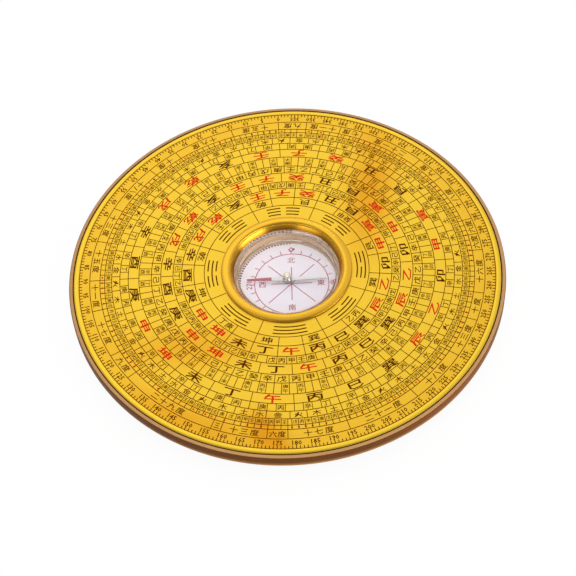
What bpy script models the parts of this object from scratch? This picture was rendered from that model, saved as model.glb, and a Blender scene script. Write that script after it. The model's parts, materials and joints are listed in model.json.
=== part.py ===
"""Round geomancy compass: a turned disc with a ringed metal dial and a needle capsule at its centre.

Units are metres, +Z is up and +Y is the dial's north. The origin is the middle of the flat foot.
"""

import math

import bmesh
import bpy
from mathutils import Matrix, Vector

MM = 0.001

# Clearances
CLEARANCE = 0.3 * MM            # between seated pieces
FINE_CLEARANCE = 0.15 * MM      # between the small pieces inside the capsule

# Base plate
DISC_RADIUS = 62.5 * MM
RIM_WIDTH = 1.4 * MM            # bare rim outside the dial's recess
RIM_EDGE_RADIUS = 0.5 * MM      # rounding of the rim's upper edge
RIM_WALL_HEIGHT = 1.8 * MM      # upright band of the rim
RIM_UNDER_RADIUS = 3.0 * MM     # rounding from the upright band into the underside
FOOT_RADIUS = 44.0 * MM         # flat foot, up to where its edge starts to round
FOOT_EDGE_RADIUS = 1.0 * MM
POCKET_FLOOR = 1.6 * MM         # thickness left under the capsule

# Dial plate
DIAL_THICKNESS = 0.8 * MM
BORDER_WIDTH = 1.55 * MM        # plain band at the dial's edge
BORDER_BEAD_WIDTH = 0.6 * MM    # low bead along the middle of that band
BORDER_BEAD_HEIGHT = 0.12 * MM
BORDER_DROP = 0.1 * MM          # how far the dial's outer edge is turned down

# Bezel ring
BEZEL_OVERLAP = 1.7 * MM        # how far the flange covers the dial around its hole
BEZEL_HEIGHT = 1.0 * MM         # crest above the dial's face
BEZEL_EDGE_HEIGHT = 0.2 * MM    # upright outer edge of the flange
BEZEL_SKIRT = 0.8 * MM          # wall of the skirt that goes down into the base
BEZEL_SKIRT_DEPTH = 2.6 * MM    # skirt below the dial's face
BEZEL_CREST_INSET = 1.8 * MM    # crest outwards from the lip
BEZEL_SHOULDER_INSET = 0.9 * MM  # top of the funnel outwards from the lip
BEZEL_SHOULDER_DROP = 0.8 * MM  # top of the funnel below the crest
LIP_OVERLAP = 0.5 * MM          # how far the lip reaches over the capsule
LIP_DEPTH = 0.9 * MM            # underside of the lip below the dial's face

# Needle capsule
CAPSULE_RADIUS = 15.6 * MM
LID_THICKNESS = 1.2 * MM
LID_EDGE_RADIUS = 0.35 * MM
COVER_WALL = 1.4 * MM           # clear wall under the lid
COVER_STEP = 0.5 * MM           # inward step of the wall's lower half
COVER_STEP_HEIGHT = 2.0 * MM    # height of that step above the card
COVER_SKIRT = 0.8 * MM          # wall of the skirt that goes round the capsule base
CHAMBER_HEIGHT = 4.5 * MM       # from the card up to the lid
TRAY_FLANGE = 0.8 * MM
TRAY_STEP = 0.5 * MM            # raised seat that carries the card

# Card
CARD_THICKNESS = 0.35 * MM

# Pivot pin
PIN_RADIUS = 0.35 * MM
PIN_SEAT_DEPTH = 0.9 * MM       # length of the pin below the top of its seat
PIN_POINT_LENGTH = 0.9 * MM
PIN_TIP_RADIUS = 0.06 * MM
PIN_FOOT_CHAMFER = 0.1 * MM

# Jewel bearing, a small cup that rides on the pin's tip
JEWEL_RADIUS = 0.5 * MM
JEWEL_ROOF = 0.25 * MM          # material above the cup
JEWEL_CUP_DEPTH = 0.45 * MM
JEWEL_CUP_TIP_RADIUS = 0.1 * MM
JEWEL_CUP_WALL = 0.15 * MM      # width of the rim round the cup's mouth

# Needle cap
CAP_HEADROOM = 0.55 * MM        # from the cap up to the lid
CAP_WALL = 0.55 * MM            # wall of the cap round the jewel
CAP_ROOF = 0.2 * MM
CAP_DOME_RADIUS = 0.3 * MM      # rounding of the cap's upper edge
CAP_BODY_HEIGHT = 1.6 * MM      # from the needle's top to where the rounding starts
CAP_FLANGE_THICKNESS = 0.25 * MM
CAP_FLANGE_OVERLAP = 0.15 * MM  # flange outside the cap's body
CAP_SHANK_WALL = 0.3 * MM       # wall of the shank through the needle's eye
CAP_COLLAR_THICKNESS = 0.2 * MM
CAP_COLLAR_OVERLAP = 0.2 * MM   # peened collar under the needle, past the needle's hole

# Needle
NEEDLE_TIP_CLEARANCE = 2.1 * MM  # from the tips to the clear wall
NEEDLE_HALF_WIDTH = 0.78 * MM
NEEDLE_TIP_HALF_WIDTH = 0.24 * MM
NEEDLE_EDGE_THICKNESS = 0.22 * MM
NEEDLE_RIDGE = 0.1 * MM         # ridge above the edge at the needle's middle
NEEDLE_EYE_WALL = 0.32 * MM     # ring of metal round the needle's hole
NEEDLE_HEADING_DEG = 88.0       # red end from the dial's north, counterclockwise seen from above
CUTTER_OVERRUN = 0.5 * MM

# Facets
LARGE_SEGMENTS = 96
CAPSULE_SEGMENTS = 64
SMALL_SEGMENTS = 32
ARC_STEP_DEG = 18.0
SMALL_ARC_STEP_DEG = 45.0
SHARP_ANGLE_DEG = 30.0
MERGE_DISTANCE = 0.001 * MM

# Radii that follow from the capsule outwards
POCKET_RADIUS = CAPSULE_RADIUS + CLEARANCE
BEZEL_SKIRT_RADIUS = POCKET_RADIUS + BEZEL_SKIRT
DIAL_HOLE_RADIUS = BEZEL_SKIRT_RADIUS + CLEARANCE
BEZEL_RADIUS = DIAL_HOLE_RADIUS + BEZEL_OVERLAP
LIP_RADIUS = CAPSULE_RADIUS - LIP_OVERLAP
RECESS_RADIUS = DISC_RADIUS - RIM_WIDTH
DIAL_RADIUS = RECESS_RADIUS - CLEARANCE
UPPER_CHAMBER_RADIUS = CAPSULE_RADIUS - COVER_WALL
CHAMBER_RADIUS = UPPER_CHAMBER_RADIUS - COVER_STEP
CARD_RADIUS = CAPSULE_RADIUS - COVER_SKIRT - CLEARANCE
NEEDLE_HALF_LENGTH = CHAMBER_RADIUS - NEEDLE_TIP_CLEARANCE

# Heights that follow from the foot upwards
TRAY_BOTTOM = POCKET_FLOOR + CLEARANCE
TRAY_FLANGE_TOP = TRAY_BOTTOM + TRAY_FLANGE
TRAY_TOP = TRAY_FLANGE_TOP + TRAY_STEP
CARD_BOTTOM = TRAY_TOP + FINE_CLEARANCE
CARD_TOP = CARD_BOTTOM + CARD_THICKNESS
LID_UNDERSIDE = CARD_TOP + CHAMBER_HEIGHT
LID_TOP = LID_UNDERSIDE + LID_THICKNESS
DIAL_FACE = LID_TOP + CLEARANCE + LIP_DEPTH
RIM_TOP = DIAL_FACE

# The needle's movement, from the lid downwards
CAP_TOP = LID_UNDERSIDE - CAP_HEADROOM
CAP_BORE_TOP = CAP_TOP - CAP_ROOF
JEWEL_TOP = CAP_BORE_TOP - FINE_CLEARANCE
JEWEL_CUP_TOP = JEWEL_TOP - JEWEL_ROOF
JEWEL_BOTTOM = JEWEL_CUP_TOP - JEWEL_CUP_DEPTH
PIN_TIP = JEWEL_CUP_TOP - FINE_CLEARANCE
CAP_BORE_RADIUS = JEWEL_RADIUS + FINE_CLEARANCE
CAP_RADIUS = CAP_BORE_RADIUS + CAP_WALL
CAP_BODY_TOP = CAP_TOP - CAP_DOME_RADIUS
CAP_FLANGE_BOTTOM = CAP_BODY_TOP - CAP_BODY_HEIGHT
NEEDLE_TOP = CAP_FLANGE_BOTTOM - FINE_CLEARANCE
NEEDLE_BOTTOM = NEEDLE_TOP - NEEDLE_EDGE_THICKNESS
CAP_SHANK_RADIUS = CAP_BORE_RADIUS + CAP_SHANK_WALL
NEEDLE_HOLE_RADIUS = CAP_SHANK_RADIUS + FINE_CLEARANCE
NEEDLE_EYE_RADIUS = NEEDLE_HOLE_RADIUS + NEEDLE_EYE_WALL
CAP_FLANGE_RADIUS = CAP_RADIUS + CAP_FLANGE_OVERLAP
CAP_COLLAR_RADIUS = NEEDLE_HOLE_RADIUS + CAP_COLLAR_OVERLAP
CAP_COLLAR_TOP = NEEDLE_BOTTOM - FINE_CLEARANCE
CAP_COLLAR_BOTTOM = CAP_COLLAR_TOP - CAP_COLLAR_THICKNESS


def remove_scene_objects():
    """Clear the scene that the script is run in."""
    for old in list(bpy.data.objects):
        bpy.data.objects.remove(old, do_unlink=True)


def principled(name, colour, roughness, metallic, transmission=0.0):
    """A material with one Principled BSDF."""
    material = bpy.data.materials.new(name)
    material.use_nodes = True
    shader = material.node_tree.nodes["Principled BSDF"]
    shader.inputs["Base Color"].default_value = (*colour, 1.0)
    shader.inputs["Roughness"].default_value = roughness
    shader.inputs["Metallic"].default_value = metallic
    shader.inputs["Transmission Weight"].default_value = transmission
    return material


def arc(centre, radii, start_deg, end_deg, step_deg=ARC_STEP_DEG):
    """Points on an elliptical arc in the (radius, height) plane, both ends included."""
    count = max(2, math.ceil(abs(end_deg - start_deg) / step_deg))
    points = []
    for index in range(count + 1):
        angle = math.radians(start_deg + (end_deg - start_deg) * index / count)
        points.append((centre[0] + radii[0] * math.cos(angle), centre[1] + radii[1] * math.sin(angle)))
    return points


def add_object(name, bm, material):
    """Turn a bmesh into a smooth shaded object with one material."""
    bmesh.ops.recalc_face_normals(bm, faces=bm.faces)
    mesh = bpy.data.meshes.new(name)
    bm.to_mesh(mesh)
    bm.free()
    mesh.materials.append(material)
    mesh.shade_smooth()
    mesh.set_sharp_from_angle(angle=math.radians(SHARP_ANGLE_DEG))
    obj = bpy.data.objects.new(name, mesh)
    bpy.context.scene.collection.objects.link(obj)
    return obj


def turn(name, profile, segments, material, closed=True):
    """Spin a profile of (radius, height) points round Z into a closed body.

    A closed profile makes a ring. An open one starts and ends on the axis.
    """
    bm = bmesh.new()
    verts = [bm.verts.new((radius, 0.0, height)) for radius, height in profile]
    edges = [bm.edges.new(pair) for pair in zip(verts, verts[1:])]
    if closed:
        edges.append(bm.edges.new((verts[-1], verts[0])))
    bmesh.ops.spin(
        bm,
        geom=verts + edges,
        cent=(0.0, 0.0, 0.0),
        axis=(0.0, 0.0, 1.0),
        angle=math.tau,
        steps=segments,
        use_merge=True,
    )
    bmesh.ops.remove_doubles(bm, verts=bm.verts, dist=MERGE_DISTANCE)
    return add_object(name, bm, material)


def tangent_angle_deg(lower, lower_radius, upper, upper_radius):
    """Direction from both centres to the line that touches two circles on their lower outer side."""
    along = math.atan2(upper[1] - lower[1], upper[0] - lower[0])
    distance = math.hypot(upper[0] - lower[0], upper[1] - lower[1])
    return math.degrees(along - math.acos((lower_radius - upper_radius) / distance))


def build_base_plate():
    """The turned disc, with a flat foot, a dial recess, a bezel counterbore and a capsule pocket."""
    material = principled("Lacquered wood", (0.20, 0.10, 0.045), 0.38, 0.0)
    wall_bottom = RIM_TOP - RIM_EDGE_RADIUS - RIM_WALL_HEIGHT
    under_centre = (DISC_RADIUS - RIM_UNDER_RADIUS, wall_bottom)
    foot_centre = (FOOT_RADIUS, FOOT_EDGE_RADIUS)
    tangent = tangent_angle_deg(foot_centre, FOOT_EDGE_RADIUS, under_centre, RIM_UNDER_RADIUS)
    edge_centre = (DISC_RADIUS - RIM_EDGE_RADIUS, RIM_TOP - RIM_EDGE_RADIUS)
    seat = DIAL_FACE - DIAL_THICKNESS - CLEARANCE
    counterbore_floor = DIAL_FACE - BEZEL_SKIRT_DEPTH - CLEARANCE

    profile = [(0.0, 0.0)]
    profile += arc(foot_centre, (FOOT_EDGE_RADIUS, FOOT_EDGE_RADIUS), -90.0, tangent)
    profile += arc(under_centre, (RIM_UNDER_RADIUS, RIM_UNDER_RADIUS), tangent, 0.0)
    profile += arc(edge_centre, (RIM_EDGE_RADIUS, RIM_EDGE_RADIUS), 0.0, 90.0)
    profile += [
        (RECESS_RADIUS, RIM_TOP),
        (RECESS_RADIUS, seat),
        (DIAL_HOLE_RADIUS, seat),
        (DIAL_HOLE_RADIUS, counterbore_floor),
        (POCKET_RADIUS, counterbore_floor),
        (POCKET_RADIUS, POCKET_FLOOR),
        (0.0, POCKET_FLOOR),
    ]
    return turn("base_plate", profile, LARGE_SEGMENTS, material, closed=False)


def build_dial_plate():
    """The thin metal dial, with a low bead inside its turned-down edge."""
    material = principled("Gold anodised dial", (0.90, 0.60, 0.03), 0.35, 0.85)
    underside = DIAL_FACE - DIAL_THICKNESS
    border_inner = DIAL_RADIUS - BORDER_WIDTH
    bead_centre = (DIAL_RADIUS - BORDER_WIDTH / 2, DIAL_FACE)
    bead = arc(bead_centre, (BORDER_BEAD_WIDTH / 2, BORDER_BEAD_HEIGHT), 0.0, 180.0, SMALL_ARC_STEP_DEG)
    profile = [
        (DIAL_HOLE_RADIUS, underside),
        (DIAL_RADIUS, underside),
        (DIAL_RADIUS, DIAL_FACE - BORDER_DROP),
        *bead,
        (border_inner, DIAL_FACE),
        (DIAL_HOLE_RADIUS, DIAL_FACE),
    ]
    return turn("dial_plate", profile, LARGE_SEGMENTS, material)


def build_bezel_ring():
    """The rounded ring that holds the capsule down, with a skirt that seats in the base."""
    material = principled("Satin gold bezel", (0.85, 0.52, 0.05), 0.30, 1.0)
    flange_bottom = DIAL_FACE + FINE_CLEARANCE
    edge_top = flange_bottom + BEZEL_EDGE_HEIGHT
    crest = DIAL_FACE + BEZEL_HEIGHT
    crest_radius = LIP_RADIUS + BEZEL_CREST_INSET
    shoulder = crest - BEZEL_SHOULDER_DROP
    shoulder_radius = LIP_RADIUS + BEZEL_SHOULDER_INSET
    lip_bottom = LID_TOP + CLEARANCE
    skirt_bottom = DIAL_FACE - BEZEL_SKIRT_DEPTH

    outer_curve = arc((crest_radius, edge_top), (BEZEL_RADIUS - crest_radius, crest - edge_top), 0.0, 90.0)
    inner_curve = arc((crest_radius, shoulder), (crest_radius - shoulder_radius, crest - shoulder), 90.0, 180.0)
    profile = [
        (POCKET_RADIUS, skirt_bottom),
        (BEZEL_SKIRT_RADIUS, skirt_bottom),
        (BEZEL_SKIRT_RADIUS, flange_bottom),
        (BEZEL_RADIUS, flange_bottom),
        *outer_curve,
        *inner_curve[1:],
        (LIP_RADIUS, lip_bottom),
        (POCKET_RADIUS, lip_bottom),
    ]
    return turn("bezel_ring", profile, LARGE_SEGMENTS, material)


def build_capsule_cover():
    """The clear cover: a lid and a stepped wall, with a skirt that goes round the capsule base."""
    material = principled("Clear acrylic", (0.95, 0.93, 0.90), 0.05, 0.0, transmission=1.0)
    skirt_bottom = TRAY_FLANGE_TOP + CLEARANCE
    ledge = CARD_TOP + CLEARANCE
    step_top = CARD_TOP + COVER_STEP_HEIGHT
    edge_centre = (CAPSULE_RADIUS - LID_EDGE_RADIUS, LID_TOP - LID_EDGE_RADIUS)
    profile = [
        (0.0, LID_UNDERSIDE),
        (UPPER_CHAMBER_RADIUS, LID_UNDERSIDE),
        (UPPER_CHAMBER_RADIUS, step_top),
        (CHAMBER_RADIUS, step_top - COVER_STEP),
        (CHAMBER_RADIUS, ledge),
        (CARD_RADIUS + CLEARANCE, ledge),
        (CARD_RADIUS + CLEARANCE, skirt_bottom),
        (CAPSULE_RADIUS, skirt_bottom),
        *arc(edge_centre, (LID_EDGE_RADIUS, LID_EDGE_RADIUS), 0.0, 90.0),
        (0.0, LID_TOP),
    ]
    return turn("capsule_cover", profile, CAPSULE_SEGMENTS, material, closed=False)


def build_capsule_base():
    """The tray under the card, with a raised seat and a blind hole for the pin."""
    material = principled("White tray", (0.80, 0.79, 0.80), 0.45, 0.0)
    hole_radius = PIN_RADIUS + FINE_CLEARANCE
    hole_bottom = TRAY_TOP - PIN_SEAT_DEPTH - FINE_CLEARANCE
    profile = [
        (0.0, TRAY_BOTTOM),
        (CAPSULE_RADIUS, TRAY_BOTTOM),
        (CAPSULE_RADIUS, TRAY_FLANGE_TOP),
        (CARD_RADIUS, TRAY_FLANGE_TOP),
        (CARD_RADIUS, TRAY_TOP),
        (hole_radius, TRAY_TOP),
        (hole_radius, hole_bottom),
        (0.0, hole_bottom),
    ]
    return turn("capsule_base", profile, CAPSULE_SEGMENTS, material, closed=False)


def build_compass_card():
    """The printed card, a disc with a hole for the pin."""
    material = principled("Card", (0.86, 0.84, 0.88), 0.6, 0.0)
    hole_radius = PIN_RADIUS + FINE_CLEARANCE
    profile = [
        (hole_radius, CARD_BOTTOM),
        (CARD_RADIUS, CARD_BOTTOM),
        (CARD_RADIUS, CARD_TOP),
        (hole_radius, CARD_TOP),
    ]
    return turn("compass_card", profile, CAPSULE_SEGMENTS, material)


def build_pivot_pin():
    """The pointed steel pin that the needle turns on."""
    material = principled("Pin steel", (0.60, 0.60, 0.58), 0.25, 1.0)
    foot = TRAY_TOP - PIN_SEAT_DEPTH
    profile = [
        (0.0, foot),
        (PIN_RADIUS - PIN_FOOT_CHAMFER, foot),
        (PIN_RADIUS, foot + PIN_FOOT_CHAMFER),
        (PIN_RADIUS, PIN_TIP - PIN_POINT_LENGTH),
        *arc((0.0, PIN_TIP - PIN_TIP_RADIUS), (PIN_TIP_RADIUS, PIN_TIP_RADIUS), 0.0, 90.0, SMALL_ARC_STEP_DEG),
    ]
    return turn("pivot_pin", profile, SMALL_SEGMENTS, material, closed=False)


def build_jewel_bearing():
    """The jewel: a short cylinder with a conical cup in its underside."""
    material = principled("Jewel", (0.75, 0.72, 0.66), 0.08, 0.0)
    profile = [
        (0.0, JEWEL_CUP_TOP),
        (JEWEL_CUP_TIP_RADIUS, JEWEL_CUP_TOP),
        (JEWEL_RADIUS - JEWEL_CUP_WALL, JEWEL_BOTTOM),
        (JEWEL_RADIUS, JEWEL_BOTTOM),
        (JEWEL_RADIUS, JEWEL_TOP),
        (0.0, JEWEL_TOP),
    ]
    return turn("jewel_bearing", profile, SMALL_SEGMENTS, material, closed=False)


def build_needle_cap():
    """The cap round the jewel, with a flange above the needle and a peened collar below it."""
    material = principled("Polished cap", (0.80, 0.78, 0.70), 0.12, 1.0)
    flange_top = CAP_FLANGE_BOTTOM + CAP_FLANGE_THICKNESS
    dome_centre = (CAP_RADIUS - CAP_DOME_RADIUS, CAP_BODY_TOP)
    profile = [
        (0.0, CAP_BORE_TOP),
        (CAP_BORE_RADIUS, CAP_BORE_TOP),
        (CAP_BORE_RADIUS, CAP_COLLAR_BOTTOM),
        (CAP_COLLAR_RADIUS, CAP_COLLAR_BOTTOM),
        (CAP_COLLAR_RADIUS, CAP_COLLAR_TOP),
        (CAP_SHANK_RADIUS, CAP_COLLAR_TOP),
        (CAP_SHANK_RADIUS, CAP_FLANGE_BOTTOM),
        (CAP_FLANGE_RADIUS, CAP_FLANGE_BOTTOM),
        (CAP_FLANGE_RADIUS, flange_top),
        (CAP_RADIUS, flange_top),
        *arc(dome_centre, (CAP_DOME_RADIUS, CAP_DOME_RADIUS), 0.0, 90.0),
        (0.0, CAP_TOP),
    ]
    return turn("needle_cap", profile, SMALL_SEGMENTS, material, closed=False)


def round_tool(name, radius, bottom, top):
    """A plain round body, for joining to or cutting from the needle."""
    bm = bmesh.new()
    height = top - bottom
    bmesh.ops.create_cone(
        bm,
        cap_ends=True,
        segments=SMALL_SEGMENTS,
        radius1=radius,
        radius2=radius,
        depth=height,
        matrix=Matrix.Translation((0.0, 0.0, bottom + height / 2)),
    )
    mesh = bpy.data.meshes.new(name)
    bm.to_mesh(mesh)
    bm.free()
    tool = bpy.data.objects.new(name, mesh)
    bpy.context.scene.collection.objects.link(tool)
    tool.hide_render = True
    tool.display_type = "WIRE"
    return tool


def add_boolean(obj, tool, operation):
    """Join or cut a tool with an exact Boolean modifier."""
    modifier = obj.modifiers.new(tool.name, "BOOLEAN")
    modifier.operation = operation
    modifier.solver = "EXACT"
    modifier.object = tool


def build_compass_needle():
    """The needle, tapered to blunt ends and highest at its middle, with an eye for the riveted cap."""
    material = principled("Needle steel", (0.62, 0.62, 0.60), 0.3, 1.0)
    corners = [
        Vector((NEEDLE_TIP_HALF_WIDTH, NEEDLE_HALF_LENGTH, 0.0)),
        Vector((-NEEDLE_TIP_HALF_WIDTH, NEEDLE_HALF_LENGTH, 0.0)),
        Vector((-NEEDLE_HALF_WIDTH, 0.0, 0.0)),
        Vector((-NEEDLE_TIP_HALF_WIDTH, -NEEDLE_HALF_LENGTH, 0.0)),
        Vector((NEEDLE_TIP_HALF_WIDTH, -NEEDLE_HALF_LENGTH, 0.0)),
        Vector((NEEDLE_HALF_WIDTH, 0.0, 0.0)),
    ]
    bm = bmesh.new()
    lower = [bm.verts.new(corner + Vector((0.0, 0.0, NEEDLE_BOTTOM))) for corner in corners]
    upper = [bm.verts.new(corner + Vector((0.0, 0.0, NEEDLE_TOP))) for corner in corners]
    ridge = bm.verts.new((0.0, 0.0, NEEDLE_TOP + NEEDLE_RIDGE))
    bm.faces.new(lower)
    for index in range(len(corners)):
        following = (index + 1) % len(corners)
        bm.faces.new((lower[index], lower[following], upper[following], upper[index]))
        bm.faces.new((upper[index], upper[following], ridge))
    needle = add_object("compass_needle", bm, material)
    needle.rotation_euler = (0.0, 0.0, math.radians(NEEDLE_HEADING_DEG))

    hole_top = NEEDLE_TOP + NEEDLE_RIDGE + CUTTER_OVERRUN
    eye = round_tool("needle_eye_tool", NEEDLE_EYE_RADIUS, NEEDLE_BOTTOM, NEEDLE_TOP)
    flat = round_tool("needle_seat_tool", NEEDLE_EYE_RADIUS, NEEDLE_TOP, hole_top)
    hole = round_tool("needle_hole_tool", NEEDLE_HOLE_RADIUS, NEEDLE_BOTTOM - CUTTER_OVERRUN, hole_top)
    add_boolean(needle, eye, "UNION")
    add_boolean(needle, flat, "DIFFERENCE")
    add_boolean(needle, hole, "DIFFERENCE")
    return needle


def main():
    """Build every piece and hang the needle's pieces on the pivot."""
    remove_scene_objects()
    build_base_plate()
    build_dial_plate()
    build_bezel_ring()
    build_capsule_cover()
    build_capsule_base()
    build_compass_card()
    build_pivot_pin()
    pivot = bpy.data.objects.new("needle_pivot", None)
    bpy.context.scene.collection.objects.link(pivot)
    for piece in (build_compass_needle(), build_needle_cap(), build_jewel_bearing()):
        piece.parent = pivot


main()
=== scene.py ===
"""Round geomancy compass, dressed round its packed CAD frame.

Lengths are metres, +Z is up and +Y is the dial's north. Angles on the dial and the card are degrees
clockwise from north, seen from above. Radii of the printed rings are shares of the dial's edge line.
"""

import json
import math

import bmesh
import bpy
from mathutils import Matrix, Vector

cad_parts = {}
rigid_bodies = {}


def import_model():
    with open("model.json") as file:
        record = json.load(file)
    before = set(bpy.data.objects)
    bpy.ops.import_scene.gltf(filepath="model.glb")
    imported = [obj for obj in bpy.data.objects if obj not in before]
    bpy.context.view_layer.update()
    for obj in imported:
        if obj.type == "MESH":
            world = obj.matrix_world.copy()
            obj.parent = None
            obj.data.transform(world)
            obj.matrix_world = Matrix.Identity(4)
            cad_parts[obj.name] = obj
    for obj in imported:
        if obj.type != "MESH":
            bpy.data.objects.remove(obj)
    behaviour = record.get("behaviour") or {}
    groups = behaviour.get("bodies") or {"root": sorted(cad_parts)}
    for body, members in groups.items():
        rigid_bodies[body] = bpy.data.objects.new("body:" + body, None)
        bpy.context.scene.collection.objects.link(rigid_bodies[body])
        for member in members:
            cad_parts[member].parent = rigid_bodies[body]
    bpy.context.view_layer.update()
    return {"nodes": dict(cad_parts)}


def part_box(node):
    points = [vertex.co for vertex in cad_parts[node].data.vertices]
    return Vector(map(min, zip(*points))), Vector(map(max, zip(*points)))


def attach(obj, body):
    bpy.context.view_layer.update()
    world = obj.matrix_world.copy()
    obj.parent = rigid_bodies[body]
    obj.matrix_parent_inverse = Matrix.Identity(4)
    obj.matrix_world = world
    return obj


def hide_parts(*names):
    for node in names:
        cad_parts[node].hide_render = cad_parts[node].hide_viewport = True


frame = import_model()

bl_info = {
    "name": "Round Geomancy Compass",
    "version": (1, 0, 0),
    "blender": (4, 5, 0),
    "location": "View3D > Sidebar > Compass",
    "description": "Builds a round compass with a ringed metal dial and a needle capsule",
    "category": "Add Mesh",
}

MM = 0.001

# Sizes that the frame gives
DISC_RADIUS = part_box("base_plate")[1].x
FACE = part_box("base_plate")[1].z
DIAL_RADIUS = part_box("dial_plate")[1].x
DIAL_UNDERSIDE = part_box("dial_plate")[0].z
BEAD_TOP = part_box("dial_plate")[1].z
BEZEL_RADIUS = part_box("bezel_ring")[1].x
BEZEL_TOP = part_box("bezel_ring")[1].z
BEZEL_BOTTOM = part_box("bezel_ring")[0].z
CAPSULE_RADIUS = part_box("capsule_cover")[1].x
LID_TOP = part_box("capsule_cover")[1].z
COVER_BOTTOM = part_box("capsule_cover")[0].z
CARD_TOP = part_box("compass_card")[1].z

# Sizes that follow from them
GAP = 0.3 * MM
FINE_GAP = 0.15 * MM
POCKET_RADIUS = CAPSULE_RADIUS + GAP
SKIRT_RADIUS = POCKET_RADIUS + 0.8 * MM
HOLE_RADIUS = SKIRT_RADIUS + GAP
RECESS_RADIUS = DIAL_RADIUS + GAP
NEEDLE_THICKNESS = 0.22 * MM
EDGE_LINE = 60.6 * MM           # unit of the printed radii

# The printed rings: radii of their border lines, from the bezel outwards
RING_LINES = (0.388, 0.4372, 0.4948, 0.5356, 0.5932, 0.6376, 0.6964, 0.7468, 0.7864, 0.825, 0.8584, 0.880,
              0.928, 0.978)
STEMS = "甲乙丙丁戊己庚辛壬癸"
BRANCHES = "子丑寅卯辰巳午未申酉戌亥"
DIRECTIONS = "子癸丑艮寅甲卯乙辰巽巳丙午丁未坤申庚酉辛戌乾亥壬"
RED_DIRECTIONS = "午坤申戌乾壬子癸寅甲乙辰"
QUARTER_MARKS = ("艮", "癸甲", "艮", "巽", "乙丙", "巽", "坤", "丁庚", "坤", "乾", "辛壬", "乾")
QUARTER_PITCH = 5.6             # degrees between the two characters of a pair
ELEMENTS = "金木水火土"
NUMERALS = "〇一二三四五六七八九"
# Lines of each trigram from north clockwise, the outermost first: 1 is whole and 0 is broken
TRIGRAMS = ("000", "100", "101", "110", "111", "011", "010", "001")
# In degrees: where the uneven cells of the element ring start, and the widths of the spans further out
ELEMENT_CELL_EDGES = (
    3.8, 10.4, 15.6, 20.8, 26.3, 31.2, 36.9, 41.9, 47.5, 52.5, 60.0, 65.0, 69.1, 77.9, 84.1, 91.5, 96.9,
    102.0, 109.0, 115.0, 121.9, 127.9, 134.9, 140.3, 147.9, 153.9, 159.4, 165.0, 170.0, 176.1, 181.5,
    189.0, 193.1, 199.1, 207.2, 213.1, 219.1, 223.5, 229.0, 234.5, 240.0, 246.9, 252.8, 257.9, 265.3,
    271.2, 276.6, 282.1, 289.7, 296.3, 301.7, 308.2, 315.0, 321.3, 327.8, 333.7, 339.9, 347.0, 352.3,
    357.5,
)
SPAN_WIDTHS = (8.9, 10.95, 7.15, 20.8, 9.3, 18.1, 5.9, 6.1, 15.8, 9.8, 13.2, 17.8, 21.2, 17.2, 5.8, 13.0,
               2.75, 29.35, 9.1, 16.7, 11.1, 14.7, 13.1, 17.9, 10.2, 19.1, 15.0)
# Rings of even cells: the ring, its number of cells and the angle of its first border
EVEN_RINGS = (
    (0, 24, 7.5), (1, 24, 7.5), (2, 72, 2.5), (3, 24, 0.0), (4, 60, 1.5), (5, 120, 1.5), (6, 24, 0.0),
    (7, 120, 0.0),
)
TRIGRAM_CELLS = (8, 22.5)       # their number and the angle of the first border
BORDER_CLEARANCE = 0.002        # between the bezel and those borders, in shares of the edge line
FINE_CELL = 2.0                 # degrees
LEAST_MARKED_CELL = 1.4         # degrees, the narrowest fine cell that takes a character
# Places of two marks in a cell of fifteen degrees: pairs from its middle, single stems from its start
PAIR_PLACES = (-3, 3)
STEM_PLACES = (4.5, 10.5)
# Span numbers, in degrees: the widest pitch, the margin and the least span with the character for degree
SPAN_PITCH = 3.0
SPAN_MARGIN = 1.0
SPAN_WITH_WORD = 5
SPAN_DEGREE_LENGTH = 0.95       # millimetres, about the length of a degree in their ring
# Red dots, in degrees: the places in one group, and the angle from one group to the next
DOT_ANGLES = (-5, -3, -1, 1, 10, 14, 21)
DOT_REPEAT = 30
# Shares of the edge line: a trigram's lines, the shifts of a stem and a branch from the middle of their
# ring, and the degree numbers
TRIGRAM_LINES = (0.3705, 0.3515, 0.3325)
STACKED_SHIFTS = (-0.0115, 0.0125)
DEGREE_NUMBER_RING = 0.9475
# Half of a trigram's line and half of the break in it, in degrees
TRIGRAM_HALF = 12.5
BREAK_HALF = 2.1
# Height of the middle of a figure and of a character above its foot, in the font's own units
FIGURE_MIDDLE = 0.36
CHARACTER_MIDDLE = 0.38
# Width and height of the characters and dots in each ring, in millimetres
MARK_SIZES = {
    "quarter_single": (3.5, 2.2),
    "quarter_pair": (2.3, 2.2),
    "directions": (5.0, 2.75),
    "seventy_two_stems": (2.15, 1.85),
    "sixty_stems": (2.75, 2.05),
    "stem_and_branch_pairs": (1.65, 1.35),
    "single_stems": (2.0, 1.75),
    "element_marks": (2.4, 1.75),
    "small_marks": (1.3, 1.35),
    "span_numbers": (2.5, 2.1),
    "red_dots": (0.62, 0.55),
    "degree_numbers": (1.95, 1.95),
}
# The card's print, in millimetres. A number has its angle, its distance outside the circle, width and height
CARD_WORD_SHARE = 0.79          # of the circle's radius
CARD_WORD_SIZE = 2.3
CARD_NUMBERS = (
    ("0", 0, 1.6, 3.6, 2.9), ("90", 90, 1.3, 2.2, 2.3), ("180", 180, 1.6, 2.2, 2.3),
    ("270", 270, 1.6, 2.2, 2.3),
)
STRAIGHT_SPOKE = 0.55           # reach in shares of the circle's radius
SLANTING_SPOKE = 0.88
CARD_PIP_PLACE = (1.1, 1.7)     # east of the circle's middle and outside the circle
CARD_PIP_WIDTH = 0.75
# The dots at the card's edge: their circle lies off the card's middle, and dots past the limit are left out
CARD_DOTS = 100
CARD_DOT_RADIUS = 14.3
CARD_DOT_MIDDLE = (0.5, -0.2)
CARD_DOT_LIMIT = 14.15
CARD_DOT_WIDTH = 0.62

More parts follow.
